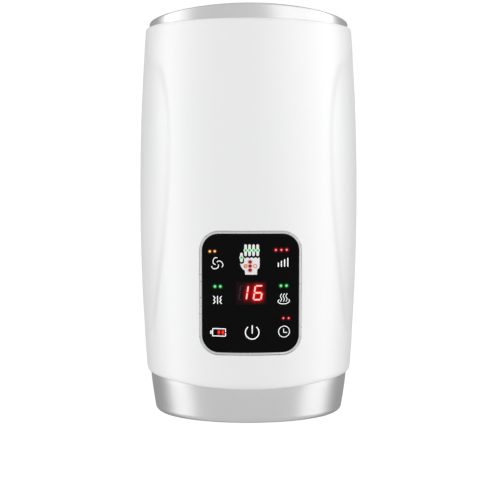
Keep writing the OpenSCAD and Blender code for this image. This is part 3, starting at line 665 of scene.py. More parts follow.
def cap_point(theta, v, wall=0.0):
    """Length and radius on the cap: v runs 0..3 along the tucked skirt, 3..4 on to the rim,
    4..5 round its edge and 5..6 over the shallow end."""
    full, edge = CAP_W / 2 - wall, 0.0003 if wall else EDGE
    rim = 0.1010 + 0.0042 * max(0.0, math.cos(theta)) ** 2 - wall
    if v <= 3:
        k = min(int(v), 2)
        y, d = (SKIRT[k][i] + (v - k) * (SKIRT[k + 1][i] - SKIRT[k][i]) for i in (0, 1))
        return y, full + d
    if v <= 4:
        return SKIRT[3][0] + (v - 3) * (rim - edge - SKIRT[3][0]), full
    if v <= 5:
        t = (v - 4) * math.pi / 2
        return rim - edge + edge * math.sin(t), full - edge + edge * math.cos(t)
    return rim + (CAP_END - wall - rim) * (1 - (6 - v) ** 2), (full - edge) * (6 - v)


def port_edge(point):
    """The charging recess's rounded edge, in the direction of a grid point."""
    theta, v = point
    r = cap_point(theta, v)[1]
    x, z = box_outline((r * math.sin(theta), r * math.cos(theta) * LOW / HALF + SOCKET_DROP),
                       SOCKET_W, SOCKET_H, SOCKET_R)
    down = (z - SOCKET_DROP) * HALF / LOW
    return math.atan2(x, down) % FULL_TURN, 6 - math.hypot(x, down) / (CAP_W / 2 - EDGE)


turns = np.linspace(0, FULL_TURN, 180, endpoint=False)
levels = np.concatenate([[0, 1, 2], np.linspace(3, 4, 4), np.linspace(4, 5, 7)[1:],
                         np.linspace(5, 6, 34)[1:]])
block = [int(np.searchsorted(*edge)) for edge in ((turns, math.pi - 0.40), (turns, math.pi + 0.40),
                                                  (levels, 5.36), (levels, 5.66))]
flat, cells = grid(turns, levels, loop=True, block=block, outline=port_edge)
outer, inner = (np.array([(a, *cap_point(a, v, wall)) for a, v in flat]) for wall in (0.0, CAP_WALL))
rear_cap = face_outwards(wrap.run(mesh_object("cap_rear", *walled(outer, inner, cells)), silver,
                                  **STRAIGHT))
print("rear cap:", len(rear_cap.data.polygons), "faces")

# %% [markdown]
# ## The touch panel
# The panel is one piece of black glass in a thin silver frame. Everything on it is laid
# out flat, as an artist would draw the print film, and a second recipe lifts the drawing
# onto the barrel: it works out how high the barrel stands at each point, and adds the
# drawing's own small height. Flat drawing keeps circles round and strokes even.

# %% The lifting recipe
lift = Recipe("lift onto the barrel", **RULE)
across, length, height = lift.place()
full, rise = lift.given("Half width"), lift.given("Upper rise")
first = (full * full - across * across).math("SQRT") * rise
offset = length + first * lift.given("Lean") - lift.given("Widest at")
radius = full - offset * offset * lift.given("Bow")
level = (radius * radius - across * across).math("SQRT") * rise
lift.close(lift.move_to(lift.given("Geometry"), across, length,
                        level + lift.given("Axis height") + height))

# %% Black glass and its frame
INK_BLACK = (0.0014, 0.0014, 0.0015)
glass = Finish("panel black glass", INK_BLACK, 0.06).gloss(0.045, 0.075, 70)
glass.mottle((0.0011, 0.0011, 0.0012), (0.0017, 0.0017, 0.0018), 120)
glass.fixed(IOR=1.5, Specular_IOR_Level=0.05)
rim = rings_of(GLASS_W, GLASS_L, GLASS_R, PANEL_Y, [(0, -0.0012), (0, -0.0001),
                                                    (0.00008, 0.00006), (0.00028, 0.0001)])
centre = np.array([0, PANEL_Y, 0.0001])
rim += [centre + (rim[3] - centre) * (s, s, 1) for s in np.linspace(1, 0.04, 22)[1:]]
panel_glass = lift.run(skin("panel_glass", rim, cap=True), glass)
frame_rings = rings_of(GLASS_W + 2 * FRAME_W, GLASS_L + 2 * FRAME_W, GLASS_R + FRAME_W, PANEL_Y, [
    (0, -0.0012), (0, 0.00012), (0.00008, 0.0002), (0.00033, 0.0002), (0.00035, -0.0009),
    (0.00056, -0.0009), (0.00058, 0.0002), (0.00068, 0.0003), (0.0011, 0.0003),
    (0.0013, 0.00023), (0.00152, 0.00007), (0.00155, -0.0012)])
panel_frame = lift.run(skin("panel_frame", frame_rings, closed=True), edge_silver)
print("glass and frame:", len(panel_glass.data.polygons), len(panel_frame.data.polygons))

# %% [markdown]
# ## Printed symbols
# The symbols are ink on the glass: strokes of even width with round ends. A stroke is a
# ribbon that follows a list of points, cut short enough to follow the curved glass. Text
# objects or an image would be quicker, but strokes stay crisp close up, and travel with
# the model as plain geometry. The drawing is in millimetres from the panel's own middle.

# %% Strokes
DRAW_Y = -0.0439                         # the drawing's middle, along the barrel


def even(points, gap=0.35, closed=False):
    """The same path with points at even, short gaps."""
    path = np.array(list(points) + ([points[0]] if closed else []), float)
    at = np.concatenate([[0], np.cumsum(np.linalg.norm(np.diff(path, axis=0), axis=1))])
    n = max(2, int(round(at[-1] / gap)) + 1)
    return np.column_stack([np.interp(np.linspace(0, at[-1], n), at, path[:, k])
                            for k in (0, 1)])


def flowing(points):
    """A rounded path through a few points."""
    p = np.array(points, float)
    p = np.vstack([2 * p[0] - p[1], p, 2 * p[-1] - p[-2]])
    t = np.linspace(0, 1, 12, endpoint=False)[:, None]
    curve = [0.5 * (2 * b + (c - a) * t + (2 * a - 5 * b + 4 * c - d) * t ** 2
                    + (3 * b - a - 3 * c + d) * t ** 3)
             for a, b, c, d in zip(p, p[1:], p[2:], p[3:])]
    return even(np.vstack(curve + [p[-2][None]]))


def stroke(path, width, closed=False):
    """Ribbon points and faces, with a round end at each side of an open path."""
    path = path[:-1] if closed else path
    step = (np.roll(path, -1, 0) - np.roll(path, 1, 0)) if closed else np.gradient(path, axis=0)
    step /= np.linalg.norm(step, axis=1)[:, None]
    side = np.column_stack([-step[:, 1], step[:, 0]]) * width / 2
    n = len(path)
    points = list(path - side) + list(path) + list(path + side)
    faces = []
    for i in range(n if closed else n - 1):
        j = (i + 1) % n
        faces += [[i, j, n + j, n + i], [n + i, n + j, 2 * n + j, 2 * n + i]]
    for k, sign in () if closed else ((0, -1), (n - 1, 1)):
        start = math.atan2(*(-side[k] * sign)[::-1])
        loop = list(range(len(points), len(points) + 6))
        points += [path[k] + width / 2 * np.array([math.cos(start + a), math.sin(start + a)])
                   for a in np.linspace(0, math.pi, 8)[1:-1]]
        loop = [k, *loop, n * 2 + k] if sign > 0 else [n * 2 + k, *loop, k]
        faces += [[n + k, p, q] for p, q in zip(loop, loop[1:])]
    return points, faces


def gather(name, drawings, height, glow=None):
    """One flat drawing from many, in metres on the barrel, with its glow if it is lit."""
    points, faces = [], []
    for more, shapes in drawings:
        faces += [[k + len(points) for k in f] for f in shapes]
        points += [(p[0] * MM, p[1] * MM + DRAW_Y, height) for p in more]
    obj = mesh_object(name, points, faces)
    return obj if glow is None else carry(obj, "glow", glow)


print("strokes ready")

# %% Symbols
def turned(points, centre, degrees):
    """The same points, turned round a centre."""
    c, s = math.cos(math.radians(degrees)), math.sin(math.radians(degrees))
    return [(centre[0] + c * (x - centre[0]) - s * (y - centre[1]),
             centre[1] + s * (x - centre[0]) + c * (y - centre[1])) for x, y in points]


def circle_path(x, y, r, start=0, end=360):
    """Points round a circle, from and to angles measured from straight up."""
    return [(x + r * math.sin(a), y + r * math.cos(a))
            for a in np.radians(np.linspace(start, end, 73))]


FAN = [(-17.36, 15.96), (-16.28, 16.47), (-15.05, 15.96), (-14.27, 14.74), (-14.38, 13.95),
       (-14.77, 13.40)]
WAVE = ((0.32, -0.56), (-0.36, -1.78), (0.32, -3.31), (-0.24, -4.51))
ZIGZAG = ((-2.06, -1.84), (-1.18, -2.76), (-1.95, -3.68), (-1.14, -4.60), (-2.05, -5.61))
TRAY = [(14.72, -3.58), (14.02, -4.41), (14.57, -5.21), (15.57, -5.68), (17.02, -5.81),
        (18.47, -5.68), (19.52, -5.16), (20.17, -4.41), (19.82, -3.54)]
BATTERY = [(-12.98, -20.18), (-12.98, -18.67), (-19.63, -18.67), (-19.63, -22.50),
           (-12.98, -22.50), (-12.98, -21.04)]
curves = ([(turned(FAN, (-17.39, 15.02), d), 0.40) for d in (0, 120, 240)]
          + [([(x + dx, y) for dx, y in WAVE], 0.34) for x in (15.67, 17.15, 18.57)]
          + [(TRAY, 0.38)])
lines = ([([(x, 13.60), (x, top)], 0.56) for x, top in ((14.22, 15.38), (15.86, 16.25),
                                                         (17.50, 17.01), (19.19, 17.78))]
         + [([(-17.11 + side * x, y) for x, y in ZIGZAG], 0.46) for side in (1, -1)]
         + [([(-17.11, -1.84), (-17.11, -5.61)], 0.46), (BATTERY, 0.46),
            ([(-20.50, -20.01), (-20.50, -21.16)], 0.70),
            (circle_path(0.77, -20.4, 3.5, 41, 319), 0.55), ([(0.77, -16.95), (0.77, -20.8)], 0.55),
            ([(17.08, -18.95), (17.08, -20.75), (18.7, -20.75)], 0.38)])
ink = ([stroke(flowing(path), width) for path, width in curves]
       + [stroke(even(path), width) for path, width in lines]
       + [stroke(even(circle_path(17.33, -20.3, 2.88)), 0.37, closed=True)])
print(len(ink), "strokes of ink")

# %% The hand symbol
FINGERS = (-2.66, -0.61, 1.44, 3.54)
THUMB = -4.76
PALM_ROWS = 14
hand = [stroke(even([(x, low), (x, high)]), 1.40)
        for x, low, high in [(THUMB, 16.62, 20.09)] + [(x, 19.7, 24.42) for x in FINGERS]]
xs = np.linspace(-5.46, 4.54, 90)
low = np.interp(xs, [-5.46, -5.39, -4.9, -3.9, -3.05, -2.95, 3.2, 3.3, 4.3, 4.54],
                [15.0, 14.8, 13.44, 12.07, 11.7, 9.5, 9.5, 12.07, 12.94, 14.06])
between_fingers = 18.35 - 0.45 * np.abs(np.cos((xs + 2.66) * math.pi / 2.06)) ** 3
high = np.where(xs < -3.4, np.interp(xs, [-5.46, -4.6, -3.45], [15.3, 14.93, 15.7]),
                between_fingers)
hand.append(([(x, a + (b - a) * k / PALM_ROWS) for x, a, b in zip(xs, low, high)
              for k in range(PALM_ROWS + 1)], net(len(xs), PALM_ROWS + 1)))
INK_HEIGHT = 0.000125


def printed(name, drawing, value, light):
    """Ink with a fine tooth, lit faintly from behind."""
    made = Finish(name, value, 0.45).mottle(0.96 * value, 1.04 * value, 1500)
    made.grain((9000, 2), 0.2, 0.00001)
    made.fixed(Emission_Color=(0.86, 0.88, 0.9, 1), Emission_Strength=light)
    return lift.run(drawing, made, sharp=0)


symbols = printed("symbol ink white", gather("panel_symbols", ink, INK_HEIGHT), 0.82, 0.32)
hand_symbol = printed("hand ink white", gather("panel_hand", hand, INK_HEIGHT), 0.60, 0.18)
print("symbols:", len(symbols.data.polygons) + len(hand_symbol.data.polygons), "faces")

# %% [markdown]
# ## Lamps and digits
# A lamp behind dark glass shows a small bright heart, a saturated body and a halo that
# dies away. Each lamp is a disc that carries its own falloff as an attribute, and a
# colour ramp turns the falloff into light. The same idea makes the two digits: a fine
# grid holds the distance to the lit segments, so the glow spills between them.

# %% Lamp discs
LAMP_HEIGHT = 0.00017


def glow_ramp(name, *stops, strength=1.0, base=INK_BLACK):
    """A finish whose light follows the mesh's own falloff."""
    made = Finish(name, base, 0.08).gloss(0.05, 0.09, 200)
    falloff = made.node("ShaderNodeAttribute", attribute_name="glow").outputs["Fac"]
    made.feed("Emission Color", made.ramp(falloff, *stops))
    return made.fixed(Emission_Strength=strength, Specular_IOR_Level=0.05)


def disc(x, y, r, rings=9, steps=28):
    """A disc's points and faces, ring by ring from its middle."""
    points = [(x, y)] + [(x + r * k / rings * math.cos(a), y + r * k / rings * math.sin(a))
                         for k in range(1, rings + 1)
                         for a in np.linspace(0, FULL_TURN, steps, endpoint=False)]
    faces = [[0, 1 + k, 1 + (k + 1) % steps] for k in range(steps)]
    return points, faces + [[1 + k for k in f] for f in net(rings, steps, round_m=True)]


def lamps(name, finish, r, *places):
    """One object of lamp discs, whose falloff runs from 1 in the middle to 0 at the edge."""
    discs = [disc(x, y, r) for x, y in places]
    falloff = [1.0] + [1 - k / 9 for k in range(1, 10) for _ in range(28)]
    return lift.run(gather(name, discs, LAMP_HEIGHT, falloff * len(discs)), finish, sharp=0)


orange = glow_ramp("lamp orange", (0.0, 0), (0.25, (0.018, 0.003, 0.0)),
                   (0.46, (0.09, 0.022, 0.001)), (0.66, (0.55, 0.26, 0.05)),
                   (1.0, (1.0, 0.72, 0.30)), strength=1.7)
red = glow_ramp("lamp red", (0.0, 0), (0.2, (0.022, 0.0, 0.001)), (0.5, (0.10, 0.002, 0.004)),
                (0.7, (0.42, 0.02, 0.03)), (1.0, (1.0, 0.42, 0.44)), strength=1.7)
green = glow_ramp("lamp green", (0.0, 0), (0.22, (0.0, 0.013, 0.001)),
                  (0.5, (0.006, 0.09, 0.015)), (0.70, (0.09, 0.50, 0.16)),
                  (1.0, (0.26, 0.90, 0.38)), strength=1.5)
lamp_sets = [
    lamps("lamps_orange", orange, 1.42, (-21.05, 21.35), (-18.49, 21.43)),
    lamps("lamps_red", red, 1.65, (12.94, 22.13), (15.81, 22.13), (18.61, 22.17)),
    lamps("lamps_red_low", red, 1.45, (16.94, -13.26), (19.72, -13.36)),
    lamps("lamps_green", green, 1.65, (-18.43, 3.24), (-15.65, 3.30), (15.60, 3.59),
          (18.52, 3.58))]
print(len(lamp_sets), "sets of lamps")

# %% Lights on the hand and in the battery
finger_light = glow_ramp("hand light green", (0.0, (0.86, 0.88, 0.9)), (0.22, (0.50, 0.90, 0.56)),
                         (0.55, (0.10, 0.52, 0.13)), (1.0, (0.03, 0.42, 0.05)), base=0.02)
palm_red = glow_ramp("hand light red", (0.0, (0.74, 0.66, 0.66)), (0.3, (0.80, 0.40, 0.42)),
                     (0.48, (0.34, 0.02, 0.03)), (1.0, (0.06, 0.0, 0.0)), base=0.005)
palm_amber = glow_ramp("hand light amber", (0.0, (0.78, 0.64, 0.60)), (0.26, (0.60, 0.22, 0.10)),
                       (0.55, (0.70, 0.22, 0.08)), (1.0, (1.0, 0.52, 0.28)), base=0.02)
palm_pale = glow_ramp("hand light pale", (0.0, (0.76, 0.64, 0.64)), (0.30, (0.52, 0.16, 0.13)),
                      (0.52, (0.80, 0.45, 0.33)), (1.0, (1.0, 0.92, 0.78)), base=0.02)
cell_red = glow_ramp("battery light red", (0.0, 0), (0.22, (0.20, 0.0, 0.0)),
                     (0.5, (0.85, 0.02, 0.02)), (1.0, (1.0, 0.06, 0.05)), strength=1.1)
lamp_sets += [
    lamps("hand_lights_green", finger_light, 1.05, (THUMB, 18.3), *((x, 22.0) for x in FINGERS)),
    lamps("hand_lights_red", palm_red, 1.5, (-0.36, 16.0), (-0.36, 13.9), (-0.36, 11.85)),
    lamps("hand_lights_amber", palm_amber, 1.25, (-2.66, 13.9)),
    lamps("hand_lights_pale", palm_pale, 1.25, (2.25, 13.9))]
bars, falloff = [], []
for x in (-16.40, -14.35):
    bars.append(stroke(even([(x, -19.80), (x, -21.25)], 0.2), 1.6))
    falloff += [min(max(1.15 - math.hypot((p[0] - x) / 0.9, (p[1] + 20.52) / 1.6), 0), 1)
                for p in bars[-1][0]]
lamp_sets.append(lift.run(gather("battery_lights", bars, LAMP_HEIGHT - 0.00002, falloff),
                          cell_red, sharp=0))
print(len(lamp_sets), "sets of lights")

# %% Two-digit display
WINDOW = (-7.58, 8.19, -6.04, 5.79)      # left, right, low and high edge, in millimetres
BARS = {"a": ((-0.62, 3.72), (0.62, 3.72)), "g": ((-0.62, 0.12), (0.62, 0.12)),
        "d": ((-0.62, -3.44), (0.62, -3.44)), "b": ((1, 3.15), (1, 0.75)),
        "f": ((-1, 3.15), (-1, 0.75)), "c": ((1, -0.5), (1, -2.85)), "e": ((-1, -0.5), (-1, -2.85))}


def reach_of(points, *digits):
    """Distance from each point to each named segment of digits (middle, segments)."""
    gaps = []
    for x, names in digits:
        for ends in (BARS[k] for k in names):
            a, b = (np.array([x + 1.95 * side + 0.15 * y, y]) for side, y in ends)
            t = np.clip(((points - a) @ (b - a)) / ((b - a) @ (b - a)), 0, 1)
            gaps.append(np.linalg.norm(points - a - t[:, None] * (b - a), axis=1))
    return np.array(gaps)


left, right, low, high = WINDOW
flat, cells = grid(np.linspace(left, right, 112), np.linspace(low, high, 84))
near = reach_of(flat, (-3.75, "bc"), (3.8, "acdefg"))
core = np.clip((0.56 - near.min(0)) / 0.30, 0, 1)
halo = np.clip((np.exp(-(near / 1.35) ** 1.6) * 0.78).sum(0), 0, 1)
ghost = np.clip((0.58 - reach_of(flat, (-3.75, "adefg"), (3.8, "b")).min(0)) / 0.2, 0, 1)
x, y = flat.T
edge = np.clip(np.minimum.reduce([x - left, right - x, y - low, high - y]) / 0.9, 0, 1)
glow = (0.10 + 0.45 * halo * (0.35 + 0.65 * edge)) * (1 - core) + core
glow -= 0.10 * ghost * np.clip(1 - 6 * halo, 0, 1)
display_red = glow_ramp("display red", (0.0, (0.036, 0.013, 0.018)), (0.09, (0.005, 0.002, 0.002)),
                        (0.12, (0.009, 0.001, 0.002)), (0.30, (0.16, 0.0, 0.002)),
                        (0.55, (0.56, 0.0, 0.0)), (0.70, (1.0, 0.06, 0.05)),
                        (0.86, (1.0, 0.34, 0.28)), (1.0, (1.0, 0.70, 0.62)), strength=1.1)
display = lift.run(gather("digit_window", [(flat, cells)], LAMP_HEIGHT - 0.00003, glow),
                   display_red, sharp=0)
print("display:", len(display.data.polygons), "faces")

# %% [markdown]
# ## Feet and massage domes
# A foot and a massage dome are the same sum with other numbers: a ball whose points are
# pushed towards a box. A fullness of 2 leaves the ball's quarter-round, which is the dome,
# and a fullness of 7 makes a flat button with a small round at its edge, which is the foot.
# The recipe sets one such stud on every point of a small layout mesh. Modelling one stud
# and copying it by hand would lose the link between the rows and their pitch.

# %% The stud recipe
stud = Recipe("stud on every point", Radius=0.005, Height=0.0055, Fullness=2.0, Floor=-0.0003)
ball = stud.node("GeometryNodeMeshUVSphere", {"Segments": 40, "Rings": 24, "Radius": 1.0})
x, y, z = stud.place()
reach = (x * x + y * y).math("SQRT").math("MAXIMUM", 0.0001)
power = stud.given("Fullness").math("POWER", -1.0) * 2.0
outward = reach.math("POWER", power - 1.0) * stud.given("Radius")
upward = z.math("ABSOLUTE").math("POWER", power) * z.math("SIGN") * stud.given("Height")
shaped = stud.move_to(ball.outputs["Mesh"], x * outward, y * outward,
                      upward.math("MAXIMUM", stud.given("Floor")))
spots = stud.node("GeometryNodeInstanceOnPoints", {"Points": stud.given("Geometry"),
                                                   "Instance": shaped})
stud.close(spots.outputs["Instances"])

# %% Rubber feet
rubber = Finish("foot rubber", 0.035, 0.78).mottle(0.030, 0.042, 500).gloss(0.70, 0.86, 300)
rubber.grain((4200, 3), 0.35, 0.00004)
FOOT_TALL, FOOT_BED = 0.0046, 0.0004     # the bed is how far a foot reaches into the shell
feet = stud.run(mesh_object("feet", [(x, y, FOOT_TALL) for x in (-0.024, 0.024)
                                     for y in (-0.060, 0.066)]),
                rubber, Radius=0.006, Height=FOOT_TALL, Fullness=7, Floor=-1)
for vertex in feet.data.vertices:
    under = AXIS - math.sqrt(barrel_r(vertex.co.y) ** 2 - vertex.co.x ** 2) * LOW / HALF
    vertex.co.z = min(vertex.co.z, max(under, BASE) + FOOT_BED)
print("feet:", len(feet.data.polygons), "faces")

# %% Massage plate and its domes
dome_grey = Finish("massage dome plastic", (0.30, 0.31, 0.33), 0.34).gloss(0.28, 0.42, 240)
dome_grey.mottle((0.27, 0.28, 0.30), (0.33, 0.34, 0.36), 260)
dome_grey.grain((2600, 2), 0.12, 0.00003)
PLATE_TOP, PALM_DOME, FINGER_DOME = 0.0245, 0.005, 0.004
palm_spots = [((c - (3 + r % 2) / 2) * 0.013, -0.060 + 0.0125 * r, PLATE_TOP)
              for r in range(5) for c in range(4 + r % 2)]
finger_spots = [((c - 1.5) * 0.015, 0.016 + 0.014 * r, PLATE_TOP)
                for c in range(4) for r in range(4)]
palm_domes, finger_domes = (
    stud.run(mesh_object(name, spots), dome_grey, Radius=size)
    for name, spots, size in (("palm_domes", palm_spots, PALM_DOME),
                              ("finger_domes", finger_spots, FINGER_DOME)))


def lidded(name, rings, steps=10):
    """A closed body from stacked outlines, its two faces closed by shrinking rings."""
    shares = np.linspace(0.94, 0.02, steps)
    lids = [[end.mean(0) + (end - end.mean(0)) * (s, s, 1) for s in shares]
            for end in (rings[0], rings[-1])]
    return face_outwards(skin(name, lids[0][::-1] + rings + lids[1], cap=True), fill=True)


massage_plate = dress(lidded("massage_base", rings_of(0.062, 0.142, 0.010, 0.002, [
    (0.0003, 0.0220), (0, 0.0223), (0, 0.0241), (0.0001, 0.0244), (0.0004, PLATE_TOP)])),
                      dome_grey, 35)
print("domes:", len(palm_spots), "under the palm and", len(finger_spots), "under the fingers")

# %% [markdown]
# ## Knitted cloth
# The chamber is lined and padded with a fine rib knit. A knit is rows of small V shapes:
# two slanting legs to a column. Sums on the cloth's own UV map, which is laid out in
# metres, give the height of the two legs at every point, and the same height drives the
# roughness, the relief and a painted shade that darkens the colour into the hollows
# between the legs. An image would blur or repeat; sums do neither.

# %% The knit finish
def knitted(name, dark, light, column=0.00125, row=0.00095):
    """A finish whose columns of V stitches follow the piece's UV map."""
    made = Finish(name, light, 0.9)
    uv = made.node("ShaderNodeUVMap", uv_map="cloth")
    split = made.node("ShaderNodeSeparateXYZ", {0: uv.outputs[0]})
    across, along = (Value(made.tree, split.outputs[k]) for k in (0, 1))
    place = (across * (1 / column)).math("FRACT")
    slant = (place * 2.0 - 1.0).math("ABSOLUTE")
    leg = ((place * 2.0).math("FRACT") * math.pi).math("SINE")
    turn = (along * (1 / row) + slant * 0.55).math("FRACT")
    height = leg * (turn * math.pi).math("SINE").math("POWER", 0.7)
    patchy = made.spread(made.noise(260, 3), 0.86, 1.0)
    grey = made.node("ShaderNodeCombineColor", {0: patchy, 1: patchy, 2: patchy})
    # painted shade: the colour darkens from each leg's crest into the hollows between stitches,
    # times a random patchy tone
    tint = made.node("ShaderNodeMix", {0: 1.0, 6: made.ramp(height, (0.0, dark), (0.75, light)),
                                       7: grey.outputs[0]},
                     data_type="RGBA", blend_type="MULTIPLY")
    made.feed("Base Color", tint.outputs[2])
    made.feed("Roughness", made.spread(height, 0.98, 0.80, 0.0, 1.0))
    made.grain(height, 0.65, 0.00025)
    return made.fixed(Sheen_Weight=0.25, Sheen_Roughness=0.45, Specular_IOR_Level=0.25)


def lay_cloth(obj, flatten=None):
    """UV map "cloth" in metres: by flatten(point's number, point), or else laid flat from
    the side that each face looks to."""
    uv = obj.data.uv_layers.new(name="cloth").data
    for face in obj.data.polygons:
        lead = max(range(3), key=lambda k: abs(face.normal[k]))
        a, b = (k for k in range(3) if k != lead)
        for k in face.loop_indices:
            number = obj.data.loops[k].vertex_index
            point = obj.data.vertices[number].co
            uv[k].uv = flatten(number, point) if flatten else (point[a], point[b])
    return obj


pad_cloth = knitted("pad knit grey", (0.13, 0.135, 0.145), (0.42, 0.43, 0.455))
side_cloth = knitted("lining knit grey", (0.095, 0.098, 0.106), (0.31, 0.318, 0.338))
print("cloth finishes:", pad_cloth.material.name, "|", side_cloth.material.name)

# %% [markdown]
# ## Piping and stitches
# Both follow a path. The piping recipe sweeps a small circle along the path, as a covered
# cord is sewn into a seam. The stitch recipe walks the same path in even steps and lays a
# short thread on each, turned the way the path runs.

# %% The piping and stitch recipes
piping = Recipe("piping along a path", Radius=0.0006)
rail = piping.node("GeometryNodeMeshToCurve", {"Mesh": piping.given("Geometry")})
piping.close(piping.swept(rail.outputs["Curve"], piping.given("Radius")))

stitch = Recipe("stitches along a path", Pitch=0.0026, Length=0.0017, Thickness=0.00042)
rail = stitch.node("GeometryNodeMeshToCurve", {"Mesh": stitch.given("Geometry")})
steps = stitch.node("GeometryNodeCurveToPoints", {"Curve": rail.outputs["Curve"],
                                                  "Length": stitch.given("Pitch")}, mode="LENGTH")
thread = stitch.node("GeometryNodeMeshUVSphere", {"Segments": 8, "Rings": 6, "Radius": 0.5})
x, y, z = stitch.place()
drawn = stitch.move_to(thread.outputs["Mesh"], x * stitch.given("Thickness"),
                       y * stitch.given("Thickness"), z * stitch.given("Length"))
laid = stitch.node("GeometryNodeInstanceOnPoints", {
    "Points": steps.outputs["Points"], "Instance": drawn, "Rotation": steps.outputs["Rotation"]})
stitch.close(laid.outputs["Instances"])


def path_object(name, paths, closed=False):
    """One object of several paths, each a list of points joined by edges."""
    points, edges = [], []
    for path in paths:
        start, n = len(points), len(path)
        points += list(path)
        edges += [(start + k, start + (k + 1) % n) for k in range(n if closed else n - 1)]
    return mesh_object(name, points, edges=edges)


thread_grey = Finish("stitch thread", 0.20, 0.72).mottle(0.16, 0.24, 1800, 2)
thread_grey.grain((9000, 2, (1, 1, 3)), 0.4, 0.00003).fixed(Sheen_Weight=0.2)
piping_grey = Finish("piping", 0.045, 0.8).mottle(0.035, 0.055, 2200, 2)
piping_grey.grain((5200, 3), 0.5, 0.00005)

# %% [markdown]
# ## Mouth collar
# The collar is a soft moulded sleeve that guides the fingers from the silver rim down to
# the chamber. It is a loft: an oval at the rim becomes the chamber's rounded oblong. Its
# stations are close together, so the funnel is smooth, and two shallow ribs near the
# chamber let it flex as the real one must.

# %% The funnel
def oblong(w, top, low, full, count):
    """Points of a rounded oblong: fullness 2 is an oval and more is squarer."""
    return [(w / 2 * math.copysign(abs(c) ** (2 / full), c),
             (top if s > 0 else low) * math.copysign(abs(s) ** (2 / full), s))
            for c, s in ((math.cos(a), math.sin(a))
                         for a in np.linspace(0, FULL_TURN, count, endpoint=False))]


def funnel(t, grow):
    """One ring of the collar, from 0 at the rim to 1 at the chamber; sums in millimetres."""
    s = t * t * (3 - 2 * t)
    grow -= 0.45 * sum(math.exp(-((t - rib) / 0.035) ** 2) for rib in (0.70, 0.84))
    ring = oblong(95 - 0.6 * s + 2 * grow, 40.6 - 16.2 * s + grow, 38.8 - 10.6 * s + grow,
                  2 + 2.4 * s * s, 144)
    return np.array([(x * MM, (-110.5 + 21.2 * t) * MM, AXIS + z * MM) for x, z in ring])


collar_grey = Finish("collar soft grey", tone(0.055, -0.01), 0.62).gloss(0.54, 0.72, 260)
collar_grey.mottle((0.048, 0.049, 0.052), (0.062, 0.063, 0.066), 320)
collar_grey.grain((3600, 3), 0.35, 0.00005)
stations = np.concatenate([np.linspace(0, 0.6, 16), np.linspace(0.6, 0.95, 37)[1:],
                           np.linspace(0.95, 1, 4)[1:]])
rings = [funnel(t, 1.2) for t in stations] + [funnel(t, 0.0) for t in stations[::-1]]
collar = dress(face_outwards(skin("collar", rings, closed=True)), collar_grey, 50)
print("collar:", len(collar.data.polygons), "faces")

# %% [markdown]
# ## Chamber lining
# Three pieces of the knit line the chamber: one down each side, wrapped round the two
# corners, and one across the fingertip end. Each is a thin sheet that is stretched over
# the frame and held at a bound, stitched edge. The side piece is drawn as a path round
# the corner, carried along the chamber, and given the cloth's own thickness.

# %% Side pieces
CHAMBER_W, ROOF, FLOOR_Z, CORNER = 0.094, 0.074, 0.022, 0.016
CLOTH, LIFT = 0.0009, 0.00004            # thickness, and gap to the frame
SIDE_FRONT, SIDE_REAR = -0.0880, 0.0782


def side_path(inset, extra=0.0):
    """From the roof edge round to the floor edge on the +X side, drawn in by inset."""
    r = CORNER - inset
    cx, high, low = CHAMBER_W / 2 - CORNER, ROOF - CORNER, FLOOR_Z + CORNER
    top = [(cx + r * math.sin(a), high + r * math.cos(a))
           for a in np.radians(np.linspace(35.0 + extra, 90, 12))]
    flank = [(cx + r, z) for z in np.linspace(high, low, 14)[1:-1]]
    bottom = [(cx + r * math.sin(a), low - r * math.cos(a))
              for a in np.radians(np.linspace(90, 39.5 + extra, 12))]
    return np.array(top + flank + bottom)


def lining_side(name, sign):
    """A sheet round one side of the chamber, with its thickness and a soft waviness."""
    ys = np.linspace(SIDE_FRONT, SIDE_REAR, 84)
    outer, inner = side_path(LIFT), side_path(LIFT + CLOTH)
    gaps = np.concatenate([[0], np.cumsum(np.linalg.norm(np.diff(outer, axis=0), axis=1))])
    m = len(ys)
    sheets = [np.array([(sign * x, y, z) for x, z in path for y in ys]) for path in (outer, inner)]
    x, y, z = sheets[1].T
    x -= sign * np.abs(0.00016 * np.sin(y * 190 + z * 60) * np.sin(z * 150))
    obj = mesh_object(name, *walled(*sheets, net(len(outer), m)))
    lay_cloth(obj, lambda k, _: (ys[k % len(sheets[0]) % m], gaps[k % len(sheets[0]) // m]))
    return dress(face_outwards(obj), side_cloth, 60), float(gaps[-1])


lining_right, deep = lining_side("lining_right", 1)
lining_left, _ = lining_side("lining_left", -1)
print("side pieces are", round(deep / MM, 1), "mm deep")

# %% End piece
END_Y, END_LOW, END_HIGH = 0.07885, 0.0295, 0.0678


def end_half(z):
    """Half-width of the chamber's end at a height."""
    rise = max(z - (ROOF - CORNER), (FLOOR_Z + CORNER) - z, 0)
    return CHAMBER_W / 2 - CORNER + math.sqrt((CORNER - 0.0012) ** 2 - rise ** 2) - 0.0003


levels = np.linspace(END_LOW, END_HIGH, 30)
flat = [(u * end_half(z), z) for z in levels for u in np.linspace(-1, 1, 60)]
puff = [0.0003 * (1 - (abs(x) / (CHAMBER_W / 2)) ** 4)
        * math.sin(math.pi * (z - END_LOW) / (END_HIGH - END_LOW)) for x, z in flat]
front = np.array([(x, END_Y - p, z) for (x, z), p in zip(flat, puff)])
rear = np.array([(x, END_Y + CLOTH, z) for x, z in flat])
lining_end = face_outwards(mesh_object("lining_end", *walled(front, rear, net(30, 60, flip=True))))
dress(lay_cloth(lining_end, lambda _, p: (p.x, p.z)), side_cloth, 60)

# %% Bound edges and their stitches
def along_edges(inset, extra=0.0):
    """Four paths down the side pieces' long edges."""
    return [[(sign * x, y, z) for y in np.linspace(-0.0872, 0.0776, 90)]
            for sign in (-1, 1) for x, z in side_path(inset, extra)[[0, -1]]]


